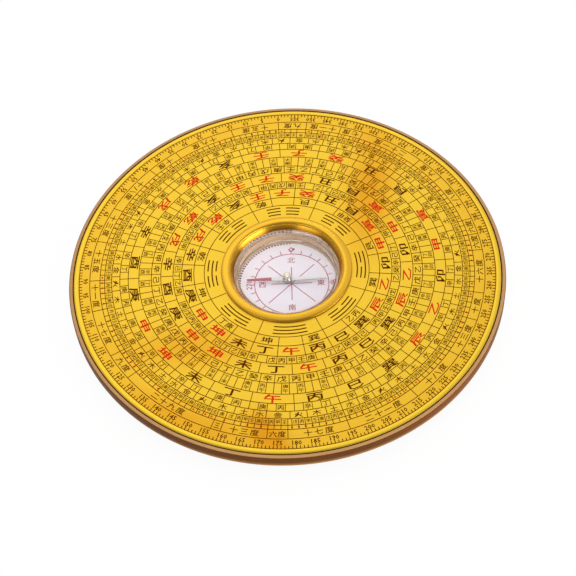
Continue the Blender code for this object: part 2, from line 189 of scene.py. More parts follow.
# Soft patches: middle and half size in millimetres, turn in degrees, and strength. The amber ones are
# painted reflections on the brushed dial; the one on the rim is painted light on its side.
AMBER_REFLECTIONS = (
    ((25.5, 26.0), (12.0, 37.0), -9.0, 0.85),
    ((-27.0, -25.0), (31.0, 12.0), -4.0, 0.6),
    ((-7.5, -54.5), (8.0, 14.0), 30.0, 0.9),
    ((-30.0, -48.0), (34.0, 9.0), -26.0, 0.45),
    ((12.0, -30.0), (26.0, 16.0), 20.0, 0.15),
)
# Painted light: a paler patch on the rim's side at the front right, where light falls on it.
LIT_SIDE_PATCH = ((45.0, -42.0), (38.0, 34.0), 0.0, 0.55)

# The photograph's camera: elevation, azimuth and roll in degrees, the rest in millimetres
CAMERA_ANGLES = (53.595, 0.63, -4.0235)
CAMERA_AIM = (0.1, -6.72)
CAMERA_DISTANCE = 452.7
CAMERA_LENS = 100.13
CAMERA_SENSOR = 36.0
# Lamps aimed at the compass: place and size in metres, power in watts, whether mirrors show them
LAMPS = (
    ("right_softbox", (1.10, -0.62, 0.50), (1.2, 0.35), 4.7, True),
    ("left_softbox", (-0.80, -0.85, 0.62), (0.8, 0.3), 1.15, True),
    ("back_softbox", (-0.25, 0.80, 0.95), (0.8, 0.8), 0.8, True),
    ("top_fill", (0.0, -0.30, 1.10), (0.8, 0.8), 5.4, False),
    ("low_fill", (0.68, -0.97, 0.17), (0.6, 0.2), 5.0, False),
    ("back_spot", (0.14, 0.80, 0.59), (0.08, 0.08), 0.08, True),
)
# The bright side of the room, and the cosines off it at which its light begins and is full
BACK_OF_ROOM = (0.0, 0.87, 0.5)
ROOM_FADE = (-0.1, 0.75)


def shown(red, green, blue):
    """A colour given by its display values of 0 to 255, as the linear values that nodes take."""
    linear = []
    for value in (red, green, blue):
        share = value / 255
        linear.append(share / 12.92 if share <= 0.04045 else ((share + 0.055) / 1.055) ** 2.4)
    return (*linear, 1.0)


def length(name, default, description):
    """A length property with its unit."""
    return bpy.props.FloatProperty(
        name=name, description=description, default=default, min=0.0, precision=5, unit="LENGTH"
    )


def colour(name, default, description):
    """A colour property."""
    return bpy.props.FloatVectorProperty(
        name=name, description=description, default=default, size=4, min=0.0, max=1.0, subtype="COLOR"
    )


def plain_number(name, default, description, **limits):
    """A property for a plain number."""
    return bpy.props.FloatProperty(name=name, description=description, default=default, **limits)


class CompassBody(bpy.types.PropertyGroup):
    """Sizes of the solid pieces"""

    rim_trim: length("Rim trim", 0.3 * MM, "How far the lacquered rim stays inside the full radius")
    rim_edge: length("Rim edge", 0.5 * MM, "Rounding of the rim's upper edge")
    rim_wall: length("Rim wall", 2.4 * MM, "Height of the rim's upright band")
    under_radius: length("Underside radius", 3.0 * MM, "Rounding from the rim into the underside")
    foot_radius: length("Foot radius", 44.0 * MM, "Radius of the flat foot")
    foot_edge: length("Foot edge", 1.0 * MM, "Rounding at the edge of the foot")
    pocket_floor: length("Pocket floor", 1.6 * MM, "Thickness of the base under the capsule")
    recess_chamfer: length("Recess chamfer", 0.1 * MM, "Bevel at the top of the dial's recess")
    border_width: length("Border width", 1.55 * MM, "Plain band at the dial's edge")
    bead_width: length("Bead width", 1.2 * MM, "Width of the low bead along that band")
    border_drop: length("Border drop", 0.1 * MM, "How far the dial's outer edge is turned down")
    lip_overlap: length("Lip overlap", 0.5 * MM, "How far the bezel's lip reaches over the capsule")
    bezel_edge: length("Bezel edge", 0.2 * MM, "Height of the bezel's upright outer edge")
    crest_inset: length("Crest inset", 1.8 * MM, "Bezel's crest outwards from the lip")
    shoulder_inset: length("Shoulder inset", 0.9 * MM, "Bezel's inner shoulder outwards from the lip")
    shoulder_drop: length("Shoulder drop", 0.8 * MM, "Bezel's inner shoulder below the crest")
    lid_edge: length("Lid edge", 0.35 * MM, "Rounding at the edge of the lid")
    cover_wall: length("Cover wall", 1.4 * MM, "Thickness of the clear wall under the lid")
    cover_step: length("Cover step", 0.2 * MM, "Inward step of the wall's lower half")
    step_height: length("Step height", 2.0 * MM, "Height of that step above the card")
    cover_skirt: length("Cover skirt", 0.8 * MM, "Wall of the skirt round the tray")
    chamber_height: length("Chamber height", 4.5 * MM, "From the card up to the lid")
    cap_dome: length("Cap dome", 0.45 * MM, "Rounding of the cap's upper edge")
    paint_start: length("Paint start", 4.5 * MM, "From the needle's middle to where its paint starts")
    needle_heading: plain_number(
        "Needle heading", math.radians(88), "Painted end, anticlockwise from north", subtype="ANGLE"
    )
    segments: bpy.props.IntProperty(
        name="Segments", description="Facets round the large turned pieces", default=256, min=48
    )


class CompassPrint(bpy.types.PropertyGroup):
    """Sizes of the printed lines and characters"""

    ring_line: length("Ring line", 0.2 * MM, "Width of the lines between the rings")
    cell_line: length("Cell line", 0.19 * MM, "Width of the lines between the cells")
    tick_line: length("Tick line", 0.24 * MM, "Width of the degree ticks")
    short_tick: length("Short tick", 0.75 * MM, "Length of a degree tick")
    long_tick: length("Long tick", 1.05 * MM, "Length of every fifth degree tick")
    ink_height: length("Ink height", 0.03 * MM, "How far the ink stands above what carries it")
    ink_depth: length("Ink depth", 0.01 * MM, "How far the ink reaches into what carries it")
    bar_thickness: length("Trigram bar", 0.36 * MM, "Thickness of a trigram's bars")
    card_line: length("Card line", 0.24 * MM, "Width of the lines on the card")
    card_circle: length("Card circle", 10.7 * MM, "Radius of the circle on the card")
    card_tick: length("Card tick", 1.3 * MM, "Length of the ticks on the card")
    card_shift: length("Card shift", 1.2 * MM, "How far east the card is printed off its centre")
    card_drop: length("Card drop", 0.48 * MM, "How far south the card is printed off its centre")
    card_turn: plain_number(
        "Card turn", math.radians(1.6), "Turn of the card's print clockwise from north", subtype="ANGLE"
    )
    bold_weight: plain_number("Bold weight", 0.021, "Growth of large strokes in shares of height", min=0.002)
    fine_weight: plain_number("Fine weight", 0.013, "Growth of small strokes in shares of height", min=0.002)


class CompassColours(bpy.types.PropertyGroup):
    """Colours of the finishes"""

    dial: colour("Dial", shown(251, 209, 62), "Brushed gold of the dial")
    # Dial, warm patches: painted reflection of the brushed metal in the amber patches; the same amber tints
    # the dial towards its edge and darkens the brushing grain.
    dial_warm: colour("Dial, warm patches", shown(233, 160, 26), "Where the anodising runs to amber")
    bezel: colour("Bezel", shown(250, 196, 60), "Satin gold of the bezel")
    # Painted shade low inside the bezel; the same colour also darkens the turning grain.
    bezel_low: colour("Bezel, low inside", shown(172, 88, 8), "Tarnish low inside the bezel")
    # The paler flat top is partly the lacquer's own tone and partly painted light from above.
    rim_top: colour("Rim top", shown(198, 152, 104), "Flat top of the lacquered rim")
    # The lower curve's paler tone is painted bounce light from the floor.
    rim_low: colour("Rim low", shown(226, 170, 106), "Rubbed lower curve of the rim")
    # The pocket is bare wood, made paler to paint in light that the clear wall carries there.
    pocket: colour("Pocket", shown(255, 222, 168), "Bare wood in the capsule's pocket")
    rim_side: colour("Rim side", shown(95, 53, 15), "Side and underside of the base")
    black_ink: colour("Black ink", shown(84, 38, 0), "Black print on the dial")
    red_ink: colour("Red ink", shown(200, 42, 14), "Red print on the dial")
    card: colour("Card", shown(238, 233, 243), "Card in the capsule")
    card_ink: colour("Card ink", shown(168, 62, 88), "Red print on the card")
    needle_red: colour("Needle red", shown(160, 56, 70), "Painted end of the needle")
    clear_wall: colour("Clear wall", shown(255, 234, 206), "Tint seen through the thick clear wall")
    clear: colour("Clear cover", (0.985, 0.975, 0.97, 1.0), "Tint of the clear cover")
    tray: colour("Tray", shown(226, 222, 226), "White tray under the card")
    needle_steel: colour("Needle steel", shown(226, 222, 222), "Bare end of the needle")
    cap_crown: colour("Cap crown", shown(236, 226, 204), "Top of the polished cap")
    cap_side: colour("Cap side", shown(222, 222, 216), "Side of the polished cap")
    jewel: colour("Jewel", shown(226, 214, 190), "Stone in the cap")
    pin_steel: colour("Pin steel", shown(200, 198, 194), "Pivot pin")


class CompassStudio(bpy.types.PropertyGroup):
    """Light and floor of the studio"""

    floor_size: length("Floor size", 6.0, "Side of the floor")
    back_light: plain_number("Back light", 0.8, "Strength of the room behind the compass", min=0.0)
    front_light: plain_number("Front light", 0.28, "Strength of the room before the compass", min=0.0)
    floor_glow: plain_number("Floor glow", 0.94, "Share of the floor seen as plain white", min=0.0, max=1.0)
    floor_colour: colour("Floor", (0.97, 0.97, 0.97, 1.0), "Colour of the floor")


# Trees and meshes


def add_node(tree, kind, links=None, **settings):
    """Add a node, set its options, and link or fill its inputs."""
    made = tree.nodes.new(kind)
    for option, value in settings.items():
        setattr(made, option, value)
    for key, value in (links or {}).items():
        if isinstance(value, bpy.types.NodeSocket):
            tree.links.new(value, made.inputs[key])
        else:
            made.inputs[key].default_value = value
    return made


def calculate(tree, operation, *values):
    """A Math node's result."""
    return add_node(tree, "ShaderNodeMath", dict(enumerate(values)), operation=operation).outputs[0]


def new_group(kind, name, inputs, outputs):
    """A node group with named sockets, and the sockets of its two end nodes."""
    group = bpy.data.node_groups.new(name, kind)
    for label, socket_type, default in inputs:
        socket = group.interface.new_socket(label, in_out="INPUT", socket_type=socket_type)
        if default is not None:
            socket.default_value = default
    for label, socket_type in outputs:
        group.interface.new_socket(label, in_out="OUTPUT", socket_type=socket_type)
    return group, group.nodes.new("NodeGroupInput").outputs, group.nodes.new("NodeGroupOutput").inputs


def geometry_tree(name, inputs):
    """A geometry tree that takes a geometry, the named inputs and a finish."""
    ends = ("Geometry", "NodeSocketGeometry")
    return new_group(
        "GeometryNodeTree", name, [(*ends, None), *inputs, ("Finish", "NodeSocketMaterial", None)], [ends]
    )


def finish_tree(tree, geometry, material, exit_sockets):
    """End a geometry tree in Realize Instances and Set Material."""
    real = add_node(tree, "GeometryNodeRealizeInstances", {"Geometry": geometry})
    dressed = add_node(tree, "GeometryNodeSetMaterial", {"Geometry": real.outputs[0], "Material": material})
    tree.links.new(dressed.outputs[0], exit_sockets["Geometry"])


def stored_values(tree, **kinds):
    """The values that the points carry, by name."""
    return {
        name: add_node(tree, "GeometryNodeInputNamedAttribute", {"Name": name}, data_type=kind).outputs[0]
        for name, kind in kinds.items()
    }


def turned_body_tree(name):
    """Spin a profile of points in the XZ plane round Z into a turned body."""
    tree, given, result = geometry_tree(
        name,
        [
            ("Segments", "NodeSocketInt", 256),
            ("Sharp Angle", "NodeSocketFloat", math.radians(30)),
            ("Weld Distance", "NodeSocketFloat", 0.0005 * MM),
        ],
    )
    count = add_node(tree, "GeometryNodeAttributeDomainSize", {0: given["Geometry"]}).outputs["Point Count"]
    turns = calculate(tree, "ADD", given["Segments"], 1.0)
    grid = add_node(tree, "GeometryNodeMeshGrid", {"Vertices X": turns, "Vertices Y": count})
    index = add_node(tree, "GeometryNodeInputIndex").outputs[0]
    along = calculate(tree, "MODULO", index, count)
    turn = calculate(tree, "FLOOR", calculate(tree, "DIVIDE", index, count))
    angle = calculate(tree, "MULTIPLY", calculate(tree, "DIVIDE", turn, given["Segments"]), math.tau)
    place = add_node(tree, "GeometryNodeInputPosition").outputs[0]
    point = add_node(
        tree,
        "GeometryNodeSampleIndex",
        {"Geometry": given["Geometry"], "Value": place, "Index": along},
        data_type="FLOAT_VECTOR",
    )
    spun = add_node(
        tree, "ShaderNodeVectorRotate", {"Vector": point.outputs[0], "Angle": angle}, rotation_type="Z_AXIS"
    )
    body = add_node(
        tree, "GeometryNodeSetPosition", {"Geometry": grid.outputs["Mesh"], "Position": spun.outputs[0]}
    )
    welded = add_node(
        tree,
        "GeometryNodeMergeByDistance",
        {"Geometry": body.outputs[0], "Distance": given["Weld Distance"]},
    )
    bend = add_node(tree, "GeometryNodeInputMeshEdgeAngle").outputs[0]
    sharp = calculate(tree, "GREATER_THAN", bend, given["Sharp Angle"])
    creased = add_node(
        tree,
        "GeometryNodeSetShadeSmooth",
        {0: welded.outputs[0], "Selection": sharp, "Shade Smooth": False},
        domain="EDGE",
    )
    finish_tree(tree, creased.outputs[0], given["Finish"], result)
    return tree


def radial_marks(tree, points, angle, radius, size, bottom, finish, result):
    """Stand an upright box of the given size at each point, turned to its angle on the dial."""
    height = calculate(tree, "ADD", bottom, calculate(tree, "MULTIPLY", size[2], 0.5))
    spoke = add_node(tree, "ShaderNodeCombineXYZ", {"Y": radius, "Z": height}).outputs[0]
    heading = calculate(tree, "MULTIPLY", angle, -1.0)
    place = add_node(
        tree, "ShaderNodeVectorRotate", {"Vector": spoke, "Angle": heading}, rotation_type="Z_AXIS"
    ).outputs[0]
    placed = add_node(tree, "GeometryNodeSetPosition", {"Geometry": points, "Position": place})
    box = add_node(tree, "GeometryNodeMeshCube", {"Size": (1.0, 1.0, 1.0)})
    lines = add_node(
        tree,
        "GeometryNodeInstanceOnPoints",
        {
            "Points": placed.outputs[0],
            "Instance": box.outputs["Mesh"],
            "Rotation": add_node(tree, "ShaderNodeCombineXYZ", {"Z": heading}).outputs[0],
            "Scale": add_node(tree, "ShaderNodeCombineXYZ", dict(zip("XYZ", size))).outputs[0],
        },
    )
    finish_tree(tree, lines.outputs[0], finish, result)


def scale_ticks_tree(name):
    """Ticks all round a circle, inwards from its outer radius, with every few of them longer."""
    tree, given, result = geometry_tree(
        name,
        [
            ("Count", "NodeSocketInt", 360),
            ("Long Every", "NodeSocketInt", 5),
            ("Outer Radius", "NodeSocketFloat", 59.0 * MM),
            ("Short Length", "NodeSocketFloat", 0.8 * MM),
            ("Long Length", "NodeSocketFloat", 1.1 * MM),
            ("Line Width", "NodeSocketFloat", 0.2 * MM),
            ("Bottom", "NodeSocketFloat", 0.0),
            ("Ink Thickness", "NodeSocketFloat", 0.04 * MM),
        ],
    )
    points = add_node(tree, "GeometryNodePoints", {"Count": given["Count"]}).outputs[0]
    index = add_node(tree, "GeometryNodeInputIndex").outputs[0]
    angle = calculate(tree, "MULTIPLY", calculate(tree, "DIVIDE", index, given["Count"]), math.tau)
    rest = calculate(tree, "MODULO", index, given["Long Every"])
    is_long = calculate(tree, "LESS_THAN", rest, 0.5)
    extra = calculate(tree, "SUBTRACT", given["Long Length"], given["Short Length"])
    reach = calculate(tree, "ADD", given["Short Length"], calculate(tree, "MULTIPLY", is_long, extra))
    middle = calculate(tree, "SUBTRACT", given["Outer Radius"], calculate(tree, "MULTIPLY", reach, 0.5))
    size = (given["Line Width"], reach, given["Ink Thickness"])
    radial_marks(tree, points, angle, middle, size, given["Bottom"], given["Finish"], result)
    return tree


def cell_lines_tree(name):
    """A radial line for each point, from its inner to its outer radius."""
    tree, given, result = geometry_tree(
        name,
        [
            ("Line Width", "NodeSocketFloat", 0.2 * MM),
            ("Bottom", "NodeSocketFloat", 0.0),
            ("Ink Thickness", "NodeSocketFloat", 0.04 * MM),
        ],
    )
    stored = stored_values(tree, angle="FLOAT", inner="FLOAT", outer="FLOAT")
    reach = calculate(tree, "SUBTRACT", stored["outer"], stored["inner"])
    middle = calculate(tree, "MULTIPLY", calculate(tree, "ADD", stored["outer"], stored["inner"]), 0.5)
    size = (given["Line Width"], reach, given["Ink Thickness"])
    radial_marks(
        tree, given["Geometry"], stored["angle"], middle, size, given["Bottom"], given["Finish"], result
    )
    return tree


def placed_marks_tree(name):
    """Put the mark that each point names on that point, turned and sized as the point says."""
    tree, given, result = geometry_tree(name, [("Marks", "NodeSocketCollection", None)])
    stored = stored_values(tree, mark="INT", turn="FLOAT", size="FLOAT_VECTOR")
    marks = add_node(
        tree,
        "GeometryNodeCollectionInfo",
        {"Collection": given["Marks"], "Separate Children": True, "Reset Children": True},
    )
    placed = add_node(
        tree,
        "GeometryNodeInstanceOnPoints",
        {
            "Points": given["Geometry"],
            "Instance": marks.outputs[0],
            "Pick Instance": True,
            "Instance Index": stored["mark"],
            "Rotation": add_node(tree, "ShaderNodeCombineXYZ", {"Z": stored["turn"]}).outputs[0],
            "Scale": stored["size"],
        },
    )
    finish_tree(tree, placed.outputs[0], given["Finish"], result)
    return tree


def tree_named(name, build, *arguments):
    """A node group that is built once and used again."""
    return bpy.data.node_groups.get(name) or build(name, *arguments)


def grow(name, tree, source, values):
    """Run a geometry tree on a source mesh with the named inputs, and return a plain mesh."""
    holder = bpy.data.objects.new(name, source)
    bpy.context.scene.collection.objects.link(holder)
    modifier = holder.modifiers.new(name, "NODES")
    modifier.node_group = tree
    for item in tree.interface.items_tree:
        if item.item_type == "SOCKET" and item.in_out == "INPUT" and item.name in values:
            modifier[item.identifier] = values[item.name]
    evaluated = holder.evaluated_get(bpy.context.evaluated_depsgraph_get())
    mesh = bpy.data.meshes.new_from_object(evaluated)
    holder.modifiers.remove(modifier)
    bpy.data.objects.remove(holder)
    bpy.data.meshes.remove(source)
    if not mesh.polygons:
        raise RuntimeError(f"the tree {tree.name} made no faces for {name}")
    mesh.name = name
    mesh.materials.clear()
    mesh.materials.append(values["Finish"])
    return mesh


def face_outwards(mesh):
    """Turn the faces of closed bodies outwards."""
    bm = bmesh.new()
    bm.from_mesh(mesh)
    bmesh.ops.recalc_face_normals(bm, faces=bm.faces)
    bm.to_mesh(mesh)
    bm.free()
    return mesh


def point_mesh(name, points, **attributes):
    """A mesh of loose points that carry named values."""
    mesh = bpy.data.meshes.new(name)
    mesh.from_pydata(points, [], [])
    kinds = {int: ("INT", "value"), float: ("FLOAT", "value"), tuple: ("FLOAT_VECTOR", "vector")}
    for label, values in attributes.items():
        kind, field = kinds[type(values[0])]
        flat = [part for value in values for part in value] if kind == "FLOAT_VECTOR" else values
        mesh.attributes.new(label, kind, "POINT").data.foreach_set(field, flat)
    return mesh


def turned(name, profile, material, segments, closed=True):
    """A smooth turned body from (radius, height) points. A closed profile makes a ring."""
    points = list(profile) + ([profile[0]] if closed else [])
    source = point_mesh(name, [(radius, 0.0, height) for radius, height in points])
    tree = tree_named("Turned Body", turned_body_tree)
    return face_outwards(grow(name, tree, source, {"Segments": segments, "Finish": material}))


def mesh_from(bm, name):
    """The mesh of an edit mesh, which is given up."""
    mesh = bpy.data.meshes.new(name)
    bm.to_mesh(mesh)
    bm.free()
    return mesh


def joined(name, meshes):
    """One mesh out of several that share their first material."""
    material = meshes[0].materials[0]
    bm = bmesh.new()
    for mesh in meshes:
        bm.from_mesh(mesh)
        bpy.data.meshes.remove(mesh)
    result = mesh_from(bm, name)
    result.materials.append(material)
    return result


def add_piece(name, mesh, body, slot, *replaced):
    """Make a finished mesh a piece that rides on a body of the frame."""
    mesh.name = name
    piece = bpy.data.objects.new(name, mesh)
    bpy.context.scene.collection.objects.link(piece)
    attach(piece, body)
    if replaced:
        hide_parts(*replaced)


def dress_node(node, material):
    """Give a node of the frame a better material."""
    for slot in frame["nodes"][node].material_slots:
        slot.material = material


def arc(centre, radii, start, end, step=6.0):
    """Points on an elliptical arc in the (radius, height) plane, angles in degrees."""
    count = max(2, math.ceil(abs(end - start) / step))
    angles = [math.radians(start + (end - start) * index / count) for index in range(count + 1)]
    return [(centre[0] + radii[0] * math.cos(a), centre[1] + radii[1] * math.sin(a)) for a in angles]


def on_dial(angle, radius):
    """The point of the dial at an angle clockwise from north, in degrees."""
    return radius * math.sin(math.radians(angle)), radius * math.cos(math.radians(angle))


# Shader groups that more than one finish uses


def shader_group(name, inputs, output):
    """A shader group that puts out one value."""
    return new_group("ShaderNodeTree", name, inputs, [(output, "NodeSocketFloat")])


def object_place(tree):
    """The point of the surface in the frame's coordinates, or the direction into the room."""
    return add_node(tree, "ShaderNodeTexCoord").outputs["Object"]


def vector_math(tree, operation, *values, **settings):
    """A Vector Math node."""
    return add_node(tree, "ShaderNodeVectorMath", dict(enumerate(values)) | settings, operation=operation)


def level_place(tree):
    """The level vector from the Z axis to the point."""
    return vector_math(tree, "MULTIPLY", object_place(tree), (1.0, 1.0, 0.0)).outputs[0]


def height_of_point(tree):
    """The point's height."""
    return add_node(tree, "ShaderNodeSeparateXYZ", {0: object_place(tree)}).outputs["Z"]


def radius_of_point(tree):
    """The point's distance from the Z axis."""
    return vector_math(tree, "LENGTH", level_place(tree)).outputs["Value"]


def turned_grain_group(name):
    """Fine grooves round the Z axis, as turning and brushing leave them."""
    tree, given, result = shader_group(name, [("Grooves", "NodeSocketFloat", 4000.0)], "Grain")
    across = calculate(tree, "MULTIPLY", radius_of_point(tree), given["Grooves"])
    down = calculate(tree, "MULTIPLY", height_of_point(tree), given["Grooves"])
    lines = add_node(tree, "ShaderNodeCombineXYZ", {"X": across, "Z": down}).outputs[0]
    ray = vector_math(tree, "NORMALIZE", level_place(tree)).outputs[0]
    drift = vector_math(tree, "SCALE", ray, Scale=1.2).outputs[0]
    where = vector_math(tree, "ADD", lines, drift).outputs[0]
    noise = add_node(tree, "ShaderNodeTexNoise", {"Vector": where, "Scale": 1.0, "Detail": 2.0})
    tree.links.new(noise.outputs[0], result["Grain"])
    return tree


def mottle_group(name):
    """Soft uneven patches."""
    tree, given, result = shader_group(
        name, [("Patches", "NodeSocketFloat", 200.0), ("Detail", "NodeSocketFloat", 3.0)], "Mottle"
    )
    where = {"Vector": object_place(tree), "Scale": given["Patches"], "Detail": given["Detail"]}
    tree.links.new(add_node(tree, "ShaderNodeTexNoise", where).outputs[0], result["Mottle"])
    return tree


def band_group(name, measure):
    """How far a measure of the point is from a lower towards an upper limit."""
    limits = [("From", "NodeSocketFloat", 0.0), ("To", "NodeSocketFloat", 1.0 * MM)]
    tree, given, result = shader_group(name, limits, "Share")
    share = add_node(
        tree,
        "ShaderNodeMapRange",
        {"Value": measure(tree), "From Min": given["From"], "From Max": given["To"]},
        interpolation_type="SMOOTHSTEP",
    )
    tree.links.new(share.outputs[0], result["Share"])
    return tree


def soft_patch_group(name):
    """A soft oval patch, the same at every height."""
    tree, given, result = shader_group(
        name,
        [
            ("Centre", "NodeSocketVector", None),
            ("Half Size", "NodeSocketVector", None),
            ("Turn", "NodeSocketVector", None),
        ],
        "Patch",
    )
    fitted = {"Location": given["Centre"], "Rotation": given["Turn"], "Scale": given["Half Size"]}
    mapped = add_node(
        tree, "ShaderNodeMapping", {"Vector": object_place(tree), **fitted}, vector_type="TEXTURE"
    )
    ball = add_node(
        tree, "ShaderNodeTexGradient", {"Vector": mapped.outputs[0]}, gradient_type="SPHERICAL"
    ).outputs["Fac"]
    smooth = add_node(tree, "ShaderNodeMapRange", {"Value": ball}, interpolation_type="SMOOTHSTEP")
    tree.links.new(smooth.outputs[0], result["Patch"])
    return tree


def effect(tree, group, **values):
    """Place a shader group in a material and return its output."""
    used = add_node(tree, "ShaderNodeGroup", node_tree=group)
    for label, value in values.items():
        used.inputs[label.replace("_", " ")].default_value = value
    return used.outputs[0]


def height_band(tree, low, high):
    """0 below a lower height, 1 above an upper one, and smooth between them."""
    return effect(tree, tree_named("Height Band", band_group, height_of_point), From=low, To=high)


def radius_band(tree, low, high):
    """The same for the distance from the Z axis."""
    return effect(tree, tree_named("Radius Band", band_group, radius_of_point), From=low, To=high)


def soft_patch(tree, centre, half_size, turn, strength):
    """A soft oval patch, its sizes in millimetres and its turn in degrees."""
    patch = effect(
        tree,
        tree_named("Soft Patch", soft_patch_group),
        Centre=(centre[0] * MM, centre[1] * MM, FACE),
        Half_Size=(half_size[0] * MM, half_size[1] * MM, 1.0),
        Turn=(0.0, 0.0, math.radians(turn)),
    )
    return calculate(tree, "MULTIPLY", patch, strength)


def mottle(tree, patches, detail=2.0):
    """Soft uneven patches, about so many to a metre."""
    return effect(tree, tree_named("Mottle", mottle_group), Patches=patches, Detail=detail)


def turned_grain(tree, grooves):
    """Fine turned grooves, about so many to a metre."""
    return effect(tree, tree_named("Turned Grain", turned_grain_group), Grooves=grooves)


def mixed(tree, share, first, second):
    """A mix of two colours or colour sockets."""
    node = add_node(tree, "ShaderNodeMix", data_type="RGBA")
    for key, value in ((0, share), (6, first), (7, second)):
        if isinstance(value, bpy.types.NodeSocket):
            tree.links.new(value, node.inputs[key])
        else:
            node.inputs[key].default_value = value
    return node.outputs[2]


def spread(tree, value, low, high):
    """A value of 0 to 1 stretched between two limits."""
    return add_node(tree, "ShaderNodeMapRange", {"Value": value, "To Min": low, "To Max": high}).outputs[0]


def new_finish(name, **constants):
    """A material, its tree and its shader's inputs, with the shader's plain numbers set."""
    material = bpy.data.materials.new(name)
    material.use_nodes = True
    tree = material.node_tree
    inputs = tree.nodes["Principled BSDF"].inputs
    for label, value in constants.items():
        inputs[label.replace("_", " ")].default_value = value
    return material, tree, inputs


def feed(tree, inputs, colour_value, roughness):
    """Feed a colour and a roughness into the surface."""
    tree.links.new(colour_value, inputs["Base Color"])
    tree.links.new(roughness, inputs["Roughness"])


def blend_surface(tree, share, other):
    """Let another shader take a share of the surface."""
    shader = tree.nodes["Principled BSDF"]
    blend = add_node(tree, "ShaderNodeMixShader", {0: share, 1: shader.outputs[0], 2: other.outputs[0]})
    tree.links.new(blend.outputs[0], tree.nodes["Material Output"].inputs["Surface"])


def add_relief(tree, inputs, height, strength, distance):
    """Feed a height into the surface as a fine bump."""
    bump = add_node(tree, "ShaderNodeBump", {"Height": height, "Strength": strength, "Distance": distance})
    tree.links.new(bump.outputs[0], inputs["Normal"])


def scaled(colour_value, share):
    """A colour made darker or lighter."""
    return (*(min(1.0, part * share) for part in colour_value[:3]), 1.0)


def finish_named(name, build, *arguments):
    """A material that is built once and used again."""
    return bpy.data.materials.get(name) or build(name, *arguments)


# The finishes


def lacquered_wood(name, colours):
    """Brown lacquered wood, with painted light on the paler flat of the rim, painted bounce light low on the
    side, a painted lit patch at the front right, painted shade at the inner lip, and pale bare wood in the
    pocket that is partly painted light.
    """
    material, tree, inputs = new_finish(name, Specular_IOR_Level=0.04)
    along = {"Vector": object_place(tree), "Scale": (60.0, 900.0, 500.0)}
    stretched = add_node(tree, "ShaderNodeMapping", along).outputs[0]
    fibre = add_node(tree, "ShaderNodeTexNoise", {"Vector": stretched, "Scale": 1.0, "Detail": 4.0})
    # Painted light on the side at the front right.
    lit_side = soft_patch(tree, *LIT_SIDE_PATCH)
    flank = mixed(tree, lit_side, colours.rim_side, scaled(colours.rim_side, 2.3))
    # Painted bounce light: the lower curve of the side is paler, lit from the floor below.
    side = height_band(tree, FACE - 5.2 * MM, FACE - 1.9 * MM)
    wall = mixed(tree, side, colours.rim_low, flank)
    # The paler flat of the rim, kept off its rounded edge: partly own tone, partly painted light from above.
    edge = radius_band(tree, DISC_RADIUS - 0.6 * MM, DISC_RADIUS - 0.35 * MM)
    flat = height_band(tree, FACE - 0.45 * MM, FACE - 0.05 * MM)
    flat = calculate(tree, "MULTIPLY", flat, calculate(tree, "SUBTRACT", 1.0, edge))
    ground = mixed(tree, flat, wall, colours.rim_top)
    # Painted shade: a dark line at the inner lip of the rim, by the dial's recess.
    lip = radius_band(tree, EDGE_LINE + 0.45 * MM, EDGE_LINE + 0.65 * MM)
    ground = mixed(tree, lip, scaled(colours.rim_side, 0.4), ground)
    # The pocket's pale wood is partly painted light.
    outside = radius_band(tree, HOLE_RADIUS, HOLE_RADIUS + GAP)
    ground = mixed(tree, outside, colours.pocket, ground)
    dark = mixed(tree, 0.45, ground, colours.rim_side)
    wood = mixed(tree, spread(tree, fibre.outputs[0], 0.0, 0.6), ground, dark)
    wood = mixed(tree, spread(tree, mottle(tree, 90.0), 0.0, 0.35), wood, dark)
    grain = turned_grain(tree, 5000.0)
    feed(tree, inputs, wood, spread(tree, grain, 0.32, 0.5))
    add_relief(tree, inputs, grain, 0.12, 0.02 * MM)
    return material


def brushed_dial(name, colours):
    """Gold anodised sheet, brushed round the centre, with painted amber reflection patches, an amber tint
    rising towards the edge, and a smoother border without them.
    """
    material, tree, inputs = new_finish(name, Metallic=0.92)
    # Painted reflection: amber patches that stand for the brushed metal's reflection, and an amber tint
    # towards the edge.
    warm = 0.0
    for patch in AMBER_REFLECTIONS:
        warm = calculate(tree, "MAXIMUM", warm, soft_patch(tree, *patch))
    outer = radius_band(tree, 0.74 * EDGE_LINE, 0.97 * EDGE_LINE)
    warm = calculate(tree, "ADD", warm, calculate(tree, "MULTIPLY", outer, 0.28))
    uneven = calculate(tree, "MULTIPLY", warm, spread(tree, mottle(tree, 110.0, 3.0), 0.6, 1.4))
    border = radius_band(tree, DIAL_RADIUS - 1.55 * MM, DIAL_RADIUS - 1.4 * MM)
    uneven = calculate(tree, "MULTIPLY", uneven, calculate(tree, "SUBTRACT", 1.0, border))
    gold = mixed(tree, uneven, colours.dial, colours.dial_warm)
    darker = mixed(tree, 0.5, gold, colours.dial_warm)
    grain = turned_grain(tree, 3500.0)
    brushed = spread(tree, grain, 0.36, 0.48)
    polished = calculate(tree, "MULTIPLY", brushed, 0.75)
    rough = add_node(tree, "ShaderNodeMix", {0: border, 2: brushed, 3: polished}).outputs[0]
    feed(tree, inputs, mixed(tree, spread(tree, grain, 0.0, 0.3), gold, darker), rough)
    add_relief(tree, inputs, grain, 0.08, 0.01 * MM)
    return material


